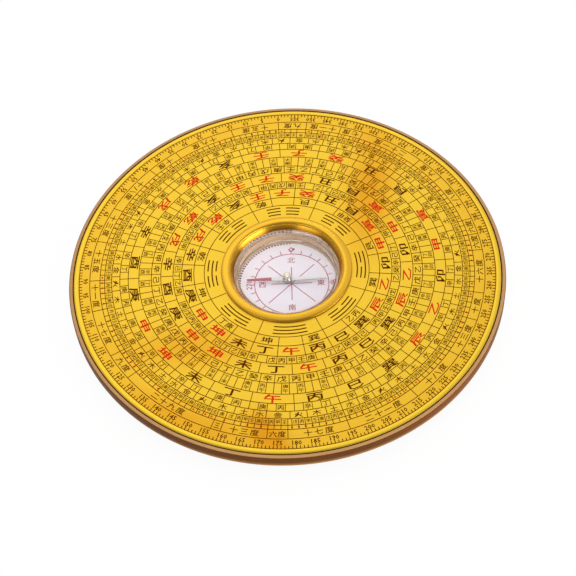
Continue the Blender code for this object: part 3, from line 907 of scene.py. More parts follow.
def satin_bezel(name, colours):
    """Gold anodised ring, satin on the crest, with painted shade low inside and at the outer foot."""
    material, tree, inputs = new_finish(name, Metallic=1.0)
    # Painted shade: the inside below the crest is darker where little light reaches.
    unshaded = radius_band(tree, CAPSULE_RADIUS - 0.7 * MM, CAPSULE_RADIUS + 0.5 * MM)
    # Painted shade along the outer foot.
    edge = radius_band(tree, BEZEL_RADIUS - 0.55 * MM, BEZEL_RADIUS)
    unshaded = calculate(tree, "SUBTRACT", unshaded, calculate(tree, "MULTIPLY", edge, 0.2))
    gold = mixed(tree, unshaded, colours.bezel_low, colours.bezel)
    grain = turned_grain(tree, 6000.0)
    gold = mixed(tree, spread(tree, grain, 0.0, 0.16), gold, colours.bezel_low)
    feed(tree, inputs, gold, spread(tree, grain, 0.21, 0.3))
    add_relief(tree, inputs, grain, 0.05, 0.01 * MM)
    return material


def clear_acrylic(name, colours):
    """Polished clear plastic that lets the lamps through to what it covers."""
    material, tree, inputs = new_finish(name, Transmission_Weight=1.0, IOR=1.49)
    chamber = CAPSULE_RADIUS - 1.9 * MM
    wall = radius_band(tree, chamber, chamber + 0.4 * MM)
    tint = mixed(tree, wall, colours.clear, colours.clear_wall)
    patchy = mottle(tree, 60.0)
    tint = mixed(tree, spread(tree, patchy, 0.0, 0.4), tint, colours.clear)
    haze = calculate(tree, "MULTIPLY", wall, 0.08)
    feed(tree, inputs, tint, calculate(tree, "ADD", haze, spread(tree, patchy, 0.0, 0.03)))
    shadow = add_node(tree, "ShaderNodeLightPath").outputs["Is Shadow Ray"]
    blend_surface(tree, shadow, add_node(tree, "ShaderNodeBsdfTransparent"))
    return material


def printing_ink(name, ink, gloss):
    """Ink that lies a little thinner in places."""
    material, tree, inputs = new_finish(name, Specular_IOR_Level=0.02)
    thin = mottle(tree, 2600.0)
    shade = mixed(tree, spread(tree, thin, 0.0, 0.4), ink, scaled(ink, 1.5))
    feed(tree, inputs, shade, spread(tree, thin, gloss, gloss + 0.2))
    return material


def plain_board(name, ground, roughness):
    """Smooth pale board or moulded plastic, slightly uneven."""
    material, tree, inputs = new_finish(name, Specular_IOR_Level=0.3)
    patchy = mottle(tree, 1500.0, 4.0)
    shade = mixed(tree, spread(tree, patchy, 0.0, 0.3), ground, scaled(ground, 0.86))
    feed(tree, inputs, shade, spread(tree, patchy, roughness, roughness + 0.15))
    add_relief(tree, inputs, patchy, 0.1, 0.01 * MM)
    return material


def bright_steel(name, base, roughness):
    """Bright steel, slightly uneven."""
    material, tree, inputs = new_finish(name, Metallic=1.0)
    patchy = mottle(tree, 1800.0, 3.0)
    steel = mixed(tree, spread(tree, patchy, 0.0, 0.35), base, scaled(base, 0.75))
    feed(tree, inputs, steel, spread(tree, patchy, roughness, roughness + 0.12))
    return material


def half_painted_steel(name, base, roughness, painted, paint_start, heading):
    """Bright steel with painted shade on its side faces, painted on one side of a line square to its
    heading.
    """
    material, tree, inputs = new_finish(name)
    patchy = mottle(tree, 1800.0, 3.0)
    steel = mixed(tree, spread(tree, patchy, 0.0, 0.35), base, scaled(base, 0.75))
    turned_back = {"Vector": object_place(tree), "Rotation": (0.0, 0.0, -heading)}
    straight = add_node(tree, "ShaderNodeMapping", turned_back).outputs[0]
    along = add_node(tree, "ShaderNodeSeparateXYZ", {0: straight}).outputs["Y"]
    line = {"Value": along, "From Min": paint_start - 0.04 * MM, "From Max": paint_start + 0.04 * MM}
    beyond = add_node(tree, "ShaderNodeMapRange", line).outputs[0]
    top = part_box("compass_needle")[0].z + NEEDLE_THICKNESS
    # Painted shade: the side faces below the top face are darker.
    face = height_band(tree, top - 0.03 * MM, top - 0.01 * MM)
    steel = mixed(tree, face, scaled(base, 0.3), steel)
    paint = mixed(tree, spread(tree, patchy, 0.0, 0.3), painted, scaled(painted, 0.7))
    feed(tree, inputs, mixed(tree, beyond, steel, paint), spread(tree, patchy, roughness, roughness + 0.15))
    tree.links.new(calculate(tree, "SUBTRACT", 1.0, beyond), inputs["Metallic"])
    return material


def polished_cap(name, crown, side):
    """Polished metal, paler and warmer on the crown."""
    material, tree, inputs = new_finish(name, Metallic=1.0)
    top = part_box("needle_cap")[1].z
    metal = mixed(tree, height_band(tree, top - 0.35 * MM, top - 0.15 * MM), side, crown)
    grain = turned_grain(tree, 9000.0)
    metal = mixed(tree, spread(tree, grain, 0.0, 0.25), metal, scaled(side, 0.7))
    feed(tree, inputs, metal, spread(tree, grain, 0.06, 0.14))
    return material


def cut_jewel(name, stone):
    """A small polished stone."""
    material, tree, inputs = new_finish(name, IOR=1.76, Coat_Weight=0.4)
    patchy = mottle(tree, 3000.0)
    feed(tree, inputs, mixed(tree, patchy, stone, scaled(stone, 0.7)), spread(tree, patchy, 0.04, 0.12))
    return material


# The solid pieces


def touching_angle(lower, lower_radius, upper, upper_radius):
    """Direction from both centres to the line that touches two circles on their lower outer side."""
    along = math.atan2(upper[1] - lower[1], upper[0] - lower[0])
    distance = math.hypot(upper[0] - lower[0], upper[1] - lower[1])
    return math.degrees(along - math.acos((lower_radius - upper_radius) / distance))


def base_profile(body):
    """Outline of the base disc from the middle of the foot, round the rim, to the middle of the pocket."""
    rim = DISC_RADIUS - body.rim_trim
    under = (rim - body.under_radius, FACE - body.rim_edge - body.rim_wall)
    foot = (body.foot_radius, body.foot_edge)
    edge = (rim - body.rim_edge, FACE - body.rim_edge)
    touch = touching_angle(foot, body.foot_edge, under, body.under_radius)
    seat = DIAL_UNDERSIDE - GAP
    counterbore = BEZEL_BOTTOM - GAP
    rings = [(radius * MM, 0.0) for radius in (8.0, 20.0, 32.0)]
    return [
        (0.0, 0.0),
        *rings,
        *arc(foot, (body.foot_edge,) * 2, -90.0, touch),
        *arc(under, (body.under_radius,) * 2, touch, 0.0, 4.0),
        *arc(edge, (body.rim_edge,) * 2, 0.0, 90.0, 10.0),
        (RECESS_RADIUS + body.recess_chamfer, FACE),
        (RECESS_RADIUS, FACE - body.recess_chamfer),
        (RECESS_RADIUS, seat),
        (HOLE_RADIUS, seat),
        (HOLE_RADIUS, counterbore),
        (POCKET_RADIUS, counterbore),
        (POCKET_RADIUS, body.pocket_floor),
        (0.0, body.pocket_floor),
    ]


def dial_profile(body):
    """Outline of the dial plate, with its low bead inside the turned-down edge."""
    bead_centre = (DIAL_RADIUS - body.border_width / 2, FACE)
    bead = arc(bead_centre, (body.bead_width / 2, BEAD_TOP - FACE), 0.0, 180.0, 15.0)
    return [
        (HOLE_RADIUS, DIAL_UNDERSIDE),
        (DIAL_RADIUS, DIAL_UNDERSIDE),
        (DIAL_RADIUS, FACE - body.border_drop),
        *bead,
        (DIAL_RADIUS - body.border_width, FACE),
        (HOLE_RADIUS, FACE),
    ]


def bezel_profile(body):
    """Outline of the bezel: flange, rounded crest, inner shoulder, lip and skirt."""
    lip_radius = CAPSULE_RADIUS - body.lip_overlap
    flange = FACE + FINE_GAP
    edge_top = flange + body.bezel_edge
    crest = lip_radius + body.crest_inset
    shoulder = (lip_radius + body.shoulder_inset, BEZEL_TOP - body.shoulder_drop)
    outer = arc((crest, edge_top), (BEZEL_RADIUS - crest, BEZEL_TOP - edge_top), 0.0, 90.0)
    inner = arc((crest, shoulder[1]), (crest - shoulder[0], BEZEL_TOP - shoulder[1]), 90.0, 180.0)
    return [
        (POCKET_RADIUS, BEZEL_BOTTOM),
        (SKIRT_RADIUS, BEZEL_BOTTOM),
        (SKIRT_RADIUS, flange),
        (BEZEL_RADIUS, flange),
        *outer,
        *inner[1:],
        (lip_radius, LID_TOP + GAP),
        (POCKET_RADIUS, LID_TOP + GAP),
    ]


def cover_profile(body):
    """Outline of the clear cover: lid, stepped wall and the skirt round the tray."""
    lid_underside = CARD_TOP + body.chamber_height
    upper_chamber = CAPSULE_RADIUS - body.cover_wall
    chamber = upper_chamber - body.cover_step
    step = CARD_TOP + body.step_height
    slope = 1.5 * body.cover_step
    skirt = CAPSULE_RADIUS - body.cover_skirt
    edge = (CAPSULE_RADIUS - body.lid_edge, LID_TOP - body.lid_edge)
    fillet = 0.25 * MM
    return [
        (0.0, lid_underside),
        *arc((upper_chamber - fillet, lid_underside - fillet), (fillet, fillet), 90.0, 0.0, 15.0),
        (upper_chamber, step),
        (chamber, step - slope),
        (chamber, CARD_TOP + GAP),
        (skirt, CARD_TOP + GAP),
        (skirt, COVER_BOTTOM),
        (CAPSULE_RADIUS, COVER_BOTTOM),
        *arc(edge, (body.lid_edge, body.lid_edge), 0.0, 90.0, 10.0),
        (0.0, LID_TOP),
    ]


def cap_profile(body):
    """Outline of the needle's cap: collar below the needle, shank, bell, neck and domed head."""
    low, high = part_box("needle_cap")
    flange = high.x
    needle_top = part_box("compass_needle")[0].z + NEEDLE_THICKNESS + FINE_GAP
    bell_foot = needle_top + 0.15 * MM
    bell_top = bell_foot + 0.6 * MM
    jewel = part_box("jewel_bearing")[1]
    bore = jewel.x + FINE_GAP
    shank = bore + 0.3 * MM
    collar = shank + 0.35 * MM
    collar_top = low.z + 0.2 * MM
    neck = bore + 0.2 * MM
    shoulder = neck + 0.05 * MM
    head = neck + 0.17 * MM
    dome = body.cap_dome
    return [
        (0.0, jewel.z + FINE_GAP),
        (bore, jewel.z + FINE_GAP),
        (bore, low.z),
        (collar, low.z),
        (collar, collar_top),
        (shank, collar_top),
        (shank, needle_top),
        (flange, needle_top),
        (flange, bell_foot),
        (flange - 0.06 * MM, bell_foot + 0.12 * MM),
        (shoulder, bell_top),
        (neck, bell_top + 0.05 * MM),
        (neck, bell_top + 0.2 * MM),
        (head, bell_top + 0.35 * MM),
        *arc((head - dome, high.z - dome), (dome, dome), 0.0, 90.0, 10.0),
        (0.0, high.z),
    ]


# The print


def mark_collection(texts, fine_weight, bold_weight):
    """A collection with one thin solid for each text, a unit high and centred, and their order.

    A text that starts with a star is drawn with heavier strokes, and without the star.
    """
    order = sorted(set(texts))
    holders = []
    for text in order:
        curve = bpy.data.curves.new("mark", "FONT")
        curve.body = text.lstrip("*")
        curve.align_x = "CENTER"
        curve.resolution_u = 1
        curve.bevel_depth = bold_weight if text.startswith("*") else fine_weight
        curve.bevel_resolution = 0
        holder = bpy.data.objects.new("mark", curve)
        bpy.context.scene.collection.objects.link(holder)
        holders.append(holder)
    collection = bpy.data.collections.new("marks")
    depsgraph = bpy.context.evaluated_depsgraph_get()
    for number, (text, holder) in enumerate(zip(order, holders)):
        mesh = bpy.data.meshes.new_from_object(holder.evaluated_get(depsgraph))
        middle = FIGURE_MIDDLE if text.isascii() else CHARACTER_MIDDLE
        settle_mark(mesh, middle, holder.data.bevel_depth)
        collection.objects.link(bpy.data.objects.new(f"mark_{number:03d}", mesh))
    for holder in holders:
        curve = holder.data
        bpy.data.objects.remove(holder)
        bpy.data.curves.remove(curve)
    return collection, {text: number for number, text in enumerate(order)}


def settle_mark(mesh, middle, weight):
    """Centre a character and stretch it to stand from zero to a unit high."""
    bm = bmesh.new()
    bm.from_mesh(mesh)
    bmesh.ops.remove_doubles(bm, verts=bm.verts, dist=0.0005)
    for vert in bm.verts:
        vert.co = (vert.co.x, vert.co.y - middle, (vert.co.z + weight) / (2 * weight))
    bmesh.ops.recalc_face_normals(bm, faces=bm.faces)
    bm.to_mesh(mesh)
    bm.free()


def dot_library():
    """A collection with one round dot of unit diameter and height, and its order."""
    bm = bmesh.new()
    raised = Matrix.Translation((0.0, 0.0, 0.5))
    bmesh.ops.create_cone(bm, cap_ends=True, segments=8, radius1=0.5, radius2=0.5, depth=1.0, matrix=raised)
    collection = bpy.data.collections.new("dots")
    collection.objects.link(bpy.data.objects.new("dot", mesh_from(bm, "dot")))
    return collection, {"dot": 0}


def marks_mesh(name, rows, library, material, layer):
    """One mesh with a mark for each row of (text, x, y, turn, width, height), in an ink layer."""
    collection, order = library
    bottom, top = layer
    source = point_mesh(
        name,
        [(row[1], row[2], bottom) for row in rows],
        mark=[order[row[0]] for row in rows],
        turn=[float(row[3]) for row in rows],
        size=[(row[4], row[5], top - bottom) for row in rows],
    )
    tree = tree_named("Placed Marks", placed_marks_tree)
    return grow(name, tree, source, {"Marks": collection, "Finish": material})


def discard(library):
    """Remove a collection of marks once they have been used."""
    collection = library[0]
    for holder in list(collection.objects):
        mesh = holder.data
        bpy.data.objects.remove(holder)
        bpy.data.meshes.remove(mesh)
    bpy.data.collections.remove(collection)


def dial_row(text, angle, share, width, height):
    """A mark on the dial with its head towards the centre."""
    x, y = on_dial(angle, share * EDGE_LINE)
    return (text, x, y, math.pi - math.radians(angle), width * MM, height * MM)


def dial_rows(text, angle, share, width, height, pitch):
    """A word on the dial, set round the ring one character at a time."""
    first = angle + pitch * (len(text) - 1) / 2
    return [dial_row(part, first - pitch * place, share, width, height) for place, part in enumerate(text)]


def stem_pair(cell):
    """The two stems that mark a cell of fifteen degrees, counted from north."""
    return "丙庚" if cell % 4 < 2 else "丁辛"


def in_words(number):
    """A whole number below a hundred in plain numerals."""
    tens, units = divmod(number, 10)
    text = "" if tens == 0 else "十" if tens == 1 else NUMERALS[tens] + "十"
    return text + (NUMERALS[units] if units or not tens else "")


def middle_of(ring):
    """The middle radius of the ring that starts at a border line."""
    return (RING_LINES[ring] + RING_LINES[ring + 1]) / 2


def direction_rows(ring, start):
    """The twenty-four directions round a ring, black and red apart."""
    black, red = [], []
    for cell, text in enumerate(DIRECTIONS):
        row = dial_row("*" + text, start + 15 * cell, middle_of(ring), *MARK_SIZES["directions"])
        (red if text in RED_DIRECTIONS else black).append(row)
    return black, red


def quarter_rows():
    """One or two characters in each twelfth of the innermost ring."""
    rows = []
    for cell, text in enumerate(QUARTER_MARKS):
        width, height = MARK_SIZES["quarter_single" if len(text) == 1 else "quarter_pair"]
        rows += dial_rows(text, 15 + 30 * cell, middle_of(0), width, height, QUARTER_PITCH)
    return rows


def cycle_rows(name, ring, first, pitch):
    """Five stems for each of the twelve branches, in the order of the cycle of sixty."""
    rows = []
    for branch in range(12):
        for turn in range(5):
            angle = first + 30 * branch + pitch * turn
            stem = STEMS[(branch + 12 * turn) % 10]
            rows.append(dial_row(stem, angle, middle_of(ring), *MARK_SIZES[name]))
    return rows


def pair_rows():
    """A stem over a branch, twice in each cell of fifteen degrees."""
    rows = []
    for cell in range(24):
        for stem, place in zip(stem_pair(cell), PAIR_PLACES):
            for text, shift in zip((stem, BRANCHES[cell // 2]), STACKED_SHIFTS):
                share = middle_of(5) + shift
                rows.append(dial_row(text, 15 * cell + place, share, *MARK_SIZES["stem_and_branch_pairs"]))
    return rows


def single_stem_rows():
    """Two stems in each cell of fifteen degrees."""
    return [
        dial_row(stem, 15 * cell + place, middle_of(7), *MARK_SIZES["single_stems"])
        for cell in range(24)
        for stem, place in zip(stem_pair(cell), STEM_PLACES)
    ]


def element_rows():
    """An element in each cell of the uneven ring."""
    rows = []
    for cell, start in enumerate(ELEMENT_CELL_EDGES):
        end = ELEMENT_CELL_EDGES[(cell + 1) % len(ELEMENT_CELL_EDGES)]
        centre = start + ((end - start) % 360) / 2
        rows.append(dial_row(ELEMENTS[(cell * 2) % 5], centre, middle_of(8), *MARK_SIZES["element_marks"]))
    return rows


def small_rows():
    """A stem in each fine cell that is wide enough."""
    return [
        dial_row(STEMS[(number * 2 + 4) % 10], centre, middle_of(9), *MARK_SIZES["small_marks"])
        for number, (centre, width) in enumerate(span_cells())
        if width > LEAST_MARKED_CELL
    ]


def span_number_rows():
    """The width of each unequal span in numerals, with the character for degree where there is room."""
    rows = []
    widest, height = MARK_SIZES["span_numbers"]
    for edge, width in zip(span_edges(), SPAN_WIDTHS):
        text = in_words(round(width)) + ("度" if width > SPAN_WITH_WORD else "")
        pitch = min(SPAN_PITCH, (width - SPAN_MARGIN) / len(text))
        across = min(widest, pitch * SPAN_DEGREE_LENGTH)
        rows += dial_rows(text, edge + width / 2, middle_of(11), across, height, pitch)
    return rows


def character_rings():
    """Every printed ring of characters, as its name, its rows and whether it is red."""
    rings = [("quarter_marks", quarter_rows(), False)]
    for name, ring, start in (("inner", 1, 0.0), ("middle", 3, -7.5), ("outer", 6, 7.5)):
        black, red = direction_rows(ring, start)
        rings.append((f"{name}_directions_black", black, False))
        rings.append((f"{name}_directions_red", red, True))
    plain = {
        "seventy_two_stems": cycle_rows("seventy_two_stems", ring=2, first=-10, pitch=5),
        "sixty_stems": cycle_rows("sixty_stems", ring=4, first=340.5, pitch=6),
        "stem_and_branch_pairs": pair_rows(),
        "single_stems": single_stem_rows(),
        "element_marks": element_rows(),
        "small_marks": small_rows(),
        "span_numbers": span_number_rows(),
    }
    return rings + [(name, rows, False) for name, rows in plain.items()]


def span_edges():
    """Where the unequal spans of the outer ring start."""
    edges, edge = [], 0.0
    for width in SPAN_WIDTHS:
        edges.append(edge)
        edge += width
    return edges


def span_cells():
    """Centres and widths of the fine cells that start again at each span."""
    cells = []
    for edge, width in zip(span_edges(), SPAN_WIDTHS):
        starts = [edge + FINE_CELL * n for n in range(max(1, round(width / FINE_CELL)))]
        for start, end in zip(starts, starts[1:] + [edge + width]):
            cells.append(((start + end) / 2, end - start))
    return cells


def cell_borders():
    """Each border between cells, as its angle and the ring lines that it joins."""
    bezel_side = BEZEL_RADIUS / EDGE_LINE + BORDER_CLEARANCE
    rings = [(bezel_side, RING_LINES[0], *TRIGRAM_CELLS)]
    rings += [(RING_LINES[ring], RING_LINES[ring + 1], count, start) for ring, count, start in EVEN_RINGS]
    borders = [
        (start + 360 / count * n, inner, outer) for inner, outer, count, start in rings for n in range(count)
    ]
    borders += [(angle, RING_LINES[8], RING_LINES[9]) for angle in ELEMENT_CELL_EDGES]
    fine = [centre - width / 2 for centre, width in span_cells()]
    borders += [(angle, RING_LINES[ring], RING_LINES[ring + 1]) for ring in (9, 10) for angle in fine]
    borders += [(angle, RING_LINES[11], RING_LINES[12]) for angle in span_edges()]
    return borders


def arc_bar(bm, inner, outer, start, end, bottom, top, degrees_a_step=1.5):
    """Add a closed bar that follows the ring between two angles."""
    steps = max(2, round(abs(end - start) / degrees_a_step))
    sections = []
    for step in range(steps + 1):
        angle = start + (end - start) * step / steps
        corners = ((inner, bottom), (outer, bottom), (outer, top), (inner, top))
        sections.append([bm.verts.new((*on_dial(angle, radius), height)) for radius, height in corners])
    for first, second in zip(sections, sections[1:]):
        for side in range(4):
            following = (side + 1) % 4
            bm.faces.new((first[side], first[following], second[following], second[side]))
    bm.faces.new(sections[0])
    bm.faces.new(sections[-1])


def line_values(width, layer, material):
    """What the trees for lines and ticks are told."""
    bottom, top = layer
    return {"Line Width": width, "Bottom": bottom, "Ink Thickness": top - bottom, "Finish": material}


def line_points(name, rows):
    """Points for the cell lines from rows of angle, inner and outer radius in metres."""
    return point_mesh(
        name,
        [(0.0, 0.0, 0.0)] * len(rows),
        angle=[math.radians(row[0]) for row in rows],
        inner=[float(row[1]) for row in rows],
        outer=[float(row[2]) for row in rows],
    )


def ring_band(name, radius, width, layer, material, segments):
    """A thin printed circle."""
    low, high = radius - width / 2, radius + width / 2
    bottom, top = layer
    return turned(name, [(low, bottom), (high, bottom), (high, top), (low, top)], material, segments)


def trigram_mesh(thickness, layer, material):
    """The eight trigrams round the bezel, three curved lines in each."""
    bm = bmesh.new()
    half = thickness / 2
    for number, lines in enumerate(TRIGRAMS):
        centre = 45.0 * number
        for line, share in zip(lines, TRIGRAM_LINES):
            whole = ((-TRIGRAM_HALF, TRIGRAM_HALF),)
            broken = ((-TRIGRAM_HALF, -BREAK_HALF), (BREAK_HALF, TRIGRAM_HALF))
            for start, end in whole if line == "1" else broken:
                radius = share * EDGE_LINE
                arc_bar(bm, radius - half, radius + half, centre + start, centre + end, *layer)
    mesh = mesh_from(bm, "trigrams")
    mesh.materials.append(material)
    return face_outwards(mesh)


def card_letter_rows(radius):
    """The four directions inside the card's circle and the four numbers outside it."""
    rows = []
    for text, angle in (("北", 0), ("東", 90), ("南", 180), ("西", 270)):
        x, y = on_dial(angle, radius * CARD_WORD_SHARE)
        rows.append((text, x, y, 0.0, CARD_WORD_SIZE * MM, CARD_WORD_SIZE * MM))
    for text, angle, outwards, width, height in CARD_NUMBERS:
        x, y = on_dial(angle, radius + outwards * MM)
        rows.append((text, x, y, -math.radians(angle), width * MM, height * MM))
    return rows


def card_dot_rows(sizes):
    """The dots that lie on the card, and the larger dot outside the circle beside the 0."""
    rows = []
    for number in range(CARD_DOTS):
        x, y = on_dial(360 / CARD_DOTS * number, CARD_DOT_RADIUS * MM)
        place = (x + CARD_DOT_MIDDLE[0] * MM, y + CARD_DOT_MIDDLE[1] * MM)
        if math.hypot(*place) < CARD_DOT_LIMIT * MM:
            rows.append(("dot", *place, 0.0, CARD_DOT_WIDTH * MM, CARD_DOT_WIDTH * MM))
    east = sizes.card_shift + CARD_PIP_PLACE[0] * MM
    north = sizes.card_circle + CARD_PIP_PLACE[1] * MM - sizes.card_drop
    rows.append(("dot", east, north, 0.0, CARD_PIP_WIDTH * MM, CARD_PIP_WIDTH * MM))
    return rows


# The operators


class CompassOperator:
    """What the building operators share"""

    bl_options = {"REGISTER", "UNDO"}

    def inks(self, context):
        """The black and the red ink of the dial."""
        colours = context.scene.compass_colours
        black = finish_named("Black ink", printing_ink, colours.black_ink, 0.4)
        red = finish_named("Red ink", printing_ink, colours.red_ink, 0.4)
        return black, red

    def ink_layer(self, context, surface):
        """The bottom and the top of the ink on a surface."""
        sizes = context.scene.compass_print
        return surface - sizes.ink_depth, surface + sizes.ink_height


class COMPASS_OT_base(CompassOperator, bpy.types.Operator):
    """Turn the base disc, with its foot, dial recess and capsule pocket"""

    bl_idname = "compass.base"
    bl_label = "Base Disc"

    def execute(self, context):
        body = context.scene.compass_body
        wood = finish_named("Lacquered wood", lacquered_wood, context.scene.compass_colours)
        mesh = turned("base_disc", base_profile(body), wood, body.segments, closed=False)
        add_piece("base_disc", mesh, "housing", "base_wood", "base_plate")
        return {"FINISHED"}


class COMPASS_OT_dial(CompassOperator, bpy.types.Operator):
    """Make the brushed dial plate with its bead"""

    bl_idname = "compass.dial"
    bl_label = "Dial Plate"

    def execute(self, context):
        body = context.scene.compass_body
        gold = finish_named("Brushed gold dial", brushed_dial, context.scene.compass_colours)
        mesh = turned("dial_sheet", dial_profile(body), gold, body.segments)
        add_piece("dial_sheet", mesh, "housing", "dial_gold", "dial_plate")
        return {"FINISHED"}


class COMPASS_OT_bezel(CompassOperator, bpy.types.Operator):
    """Turn the rounded bezel"""

    bl_idname = "compass.bezel"
    bl_label = "Bezel"

    def execute(self, context):
        body = context.scene.compass_body
        gold = finish_named("Satin gold bezel", satin_bezel, context.scene.compass_colours)
        mesh = turned("bezel", bezel_profile(body), gold, body.segments)
        add_piece("bezel", mesh, "housing", "bezel_gold", "bezel_ring")
        return {"FINISHED"}


class COMPASS_OT_capsule(CompassOperator, bpy.types.Operator):
    """Make the clear cover and finish the tray and the card"""

    bl_idname = "compass.capsule"
    bl_label = "Needle Capsule"

    def execute(self, context):
        body = context.scene.compass_body
        colours = context.scene.compass_colours
        clear = finish_named("Clear acrylic", clear_acrylic, colours)
        mesh = turned("clear_cover", cover_profile(body), clear, body.segments, closed=False)
        add_piece("clear_cover", mesh, "housing", "clear_acrylic", "capsule_cover")
        dress_node("capsule_base", finish_named("White tray", plain_board, colours.tray, 0.4))
        dress_node("compass_card", finish_named("Card", plain_board, colours.card, 0.55))
        return {"FINISHED"}


class COMPASS_OT_movement(CompassOperator, bpy.types.Operator):
    """Finish the needle, its cap, the jewel and the pin"""

    bl_idname = "compass.movement"
    bl_label = "Needle Movement"

    def execute(self, context):
        body = context.scene.compass_body
        colours = context.scene.compass_colours
        paint = (colours.needle_red, body.paint_start, body.needle_heading)
        needle = finish_named("Painted needle", half_painted_steel, colours.needle_steel, 0.22, *paint)
        dress_node("compass_needle", needle)
        metal = finish_named("Polished cap", polished_cap, colours.cap_crown, colours.cap_side)
        cap = turned("polished_cap", cap_profile(body), metal, body.segments // 4, closed=False)
        add_piece("polished_cap", cap, "needle", "cap_metal", "needle_cap")
        dress_node("jewel_bearing", finish_named("Jewel", cut_jewel, colours.jewel))
        dress_node("pivot_pin", finish_named("Pin steel", bright_steel, colours.pin_steel, 0.15))
        return {"FINISHED"}


class COMPASS_OT_lines(CompassOperator, bpy.types.Operator):
    """Print the ring lines, the cell borders and the trigrams"""

    bl_idname = "compass.lines"
    bl_label = "Printed Lines"

    def execute(self, context):
        sizes = context.scene.compass_print
        segments = context.scene.compass_body.segments
        black, _ = self.inks(context)
        layer = self.ink_layer(context, FACE)
        bands = [
            ring_band("band", share * EDGE_LINE, sizes.ring_line, layer, black, segments)
            for share in RING_LINES
        ]
        add_piece("ring_lines", joined("ring_lines", bands), "housing", "dial_gold")

        inset = sizes.ring_line / 2
        rows = [
            (angle, inner * EDGE_LINE + inset, outer * EDGE_LINE - inset)
            for angle, inner, outer in cell_borders()
        ]
        values = line_values(sizes.cell_line, layer, black)
        tree = tree_named("Cell Lines", cell_lines_tree)
        mesh = grow("cell_borders", tree, line_points("cell_borders", rows), values)
        add_piece("cell_borders", mesh, "housing", "dial_gold")
        add_piece("trigrams", trigram_mesh(sizes.bar_thickness, layer, black), "housing", "dial_gold")
        return {"FINISHED"}


class COMPASS_OT_characters(CompassOperator, bpy.types.Operator):
    """Print the rings of characters and the red dots"""

    bl_idname = "compass.characters"
    bl_label = "Printed Characters"

    def execute(self, context):
        sizes = context.scene.compass_print
        black, red = self.inks(context)
        layer = self.ink_layer(context, FACE)
        rings = character_rings()
        texts = [row[0] for _, rows, _ in rings for row in rows]
        library = mark_collection(texts, sizes.fine_weight, sizes.bold_weight)
        for name, rows, is_red in rings:
            mesh = marks_mesh(name, rows, library, red if is_red else black, layer)
            add_piece(name, mesh, "housing", "dial_gold")
        discard(library)

        dots = dot_library()
        rows = [
            dial_row("dot", DOT_REPEAT * turn + angle, middle_of(10), *MARK_SIZES["red_dots"])
            for turn in range(360 // DOT_REPEAT)
            for angle in DOT_ANGLES
        ]
        add_piece("red_dots", marks_mesh("red_dots", rows, dots, red, layer), "housing", "dial_gold")
        discard(dots)
        return {"FINISHED"}


class COMPASS_OT_degrees(CompassOperator, bpy.types.Operator):
    """Print the degree scale"""

    bl_idname = "compass.degrees"
    bl_label = "Degree Scale"

    def execute(self, context):
        sizes = context.scene.compass_print
        black, _ = self.inks(context)
        layer = self.ink_layer(context, FACE)
        values = {
            **line_values(sizes.tick_line, layer, black),
            "Count": 360,
            "Long Every": 5,
            "Outer Radius": RING_LINES[-1] * EDGE_LINE - sizes.ring_line / 2,
            "Short Length": sizes.short_tick,
            "Long Length": sizes.long_tick,
        }
        tree = tree_named("Scale Ticks", scale_ticks_tree)
        mesh = grow("degree_ticks", tree, bpy.data.meshes.new("empty"), values)
        add_piece("degree_ticks", mesh, "housing", "dial_gold")

        rows = [
            dial_row(str(value), 360 - value, DEGREE_NUMBER_RING, *MARK_SIZES["degree_numbers"])
            for value in range(0, 360, 5)
        ]
        library = mark_collection([row[0] for row in rows], sizes.bold_weight, sizes.bold_weight)
        mesh = marks_mesh("degree_numbers", rows, library, black, layer)
        add_piece("degree_numbers", mesh, "housing", "dial_gold")
        discard(library)
        return {"FINISHED"}


class COMPASS_OT_card(CompassOperator, bpy.types.Operator):
    """Print the card in the capsule"""

    bl_idname = "compass.card"
    bl_label = "Card Print"

    def execute(self, context):
        sizes = context.scene.compass_print
        pink = finish_named("Card ink", printing_ink, context.scene.compass_colours.card_ink, 0.5)
        black, _ = self.inks(context)
        layer = self.ink_layer(context, CARD_TOP)
        radius = sizes.card_circle
        shift = Matrix.Translation((sizes.card_shift, -sizes.card_drop, 0.0))
        shift = shift @ Matrix.Rotation(-sizes.card_turn, 4, "Z")
        line = line_values(sizes.card_line, layer, pink)
        ticks = {
            **line,
            "Count": 24,
            "Long Every": 1,
            "Outer Radius": radius + sizes.card_line / 2 + sizes.card_tick,
            "Short Length": sizes.card_tick,
            "Long Length": sizes.card_tick,
        }
        tick_tree = tree_named("Scale Ticks", scale_ticks_tree)
        reach = (STRAIGHT_SPOKE, SLANTING_SPOKE)
        spokes = [(45.0 * n, 0.1 * MM, radius * reach[n % 2]) for n in range(8)]
        spoke_tree = tree_named("Cell Lines", cell_lines_tree)
        meshes = {
            "card_circle": ring_band("card_circle", radius, sizes.card_line, layer, pink, 128),
            "card_ticks": grow("card_ticks", tick_tree, bpy.data.meshes.new("empty"), ticks),
            "card_spokes": grow("card_spokes", spoke_tree, line_points("card_spokes", spokes), line),
        }
        for name, mesh in meshes.items():
            mesh.transform(shift)
            add_piece(name, mesh, "housing", "card")

        rows = card_letter_rows(radius)
        library = mark_collection([row[0] for row in rows], sizes.fine_weight, sizes.fine_weight)
        mesh = marks_mesh("card_letters", rows, library, pink, layer)
        mesh.transform(shift)
        add_piece("card_letters", mesh, "housing", "card")
        discard(library)

        dots = dot_library()
        mesh = marks_mesh("card_dots", card_dot_rows(sizes), dots, black, layer)
        add_piece("card_dots", mesh, "housing", "card")
        discard(dots)
        return {"FINISHED"}


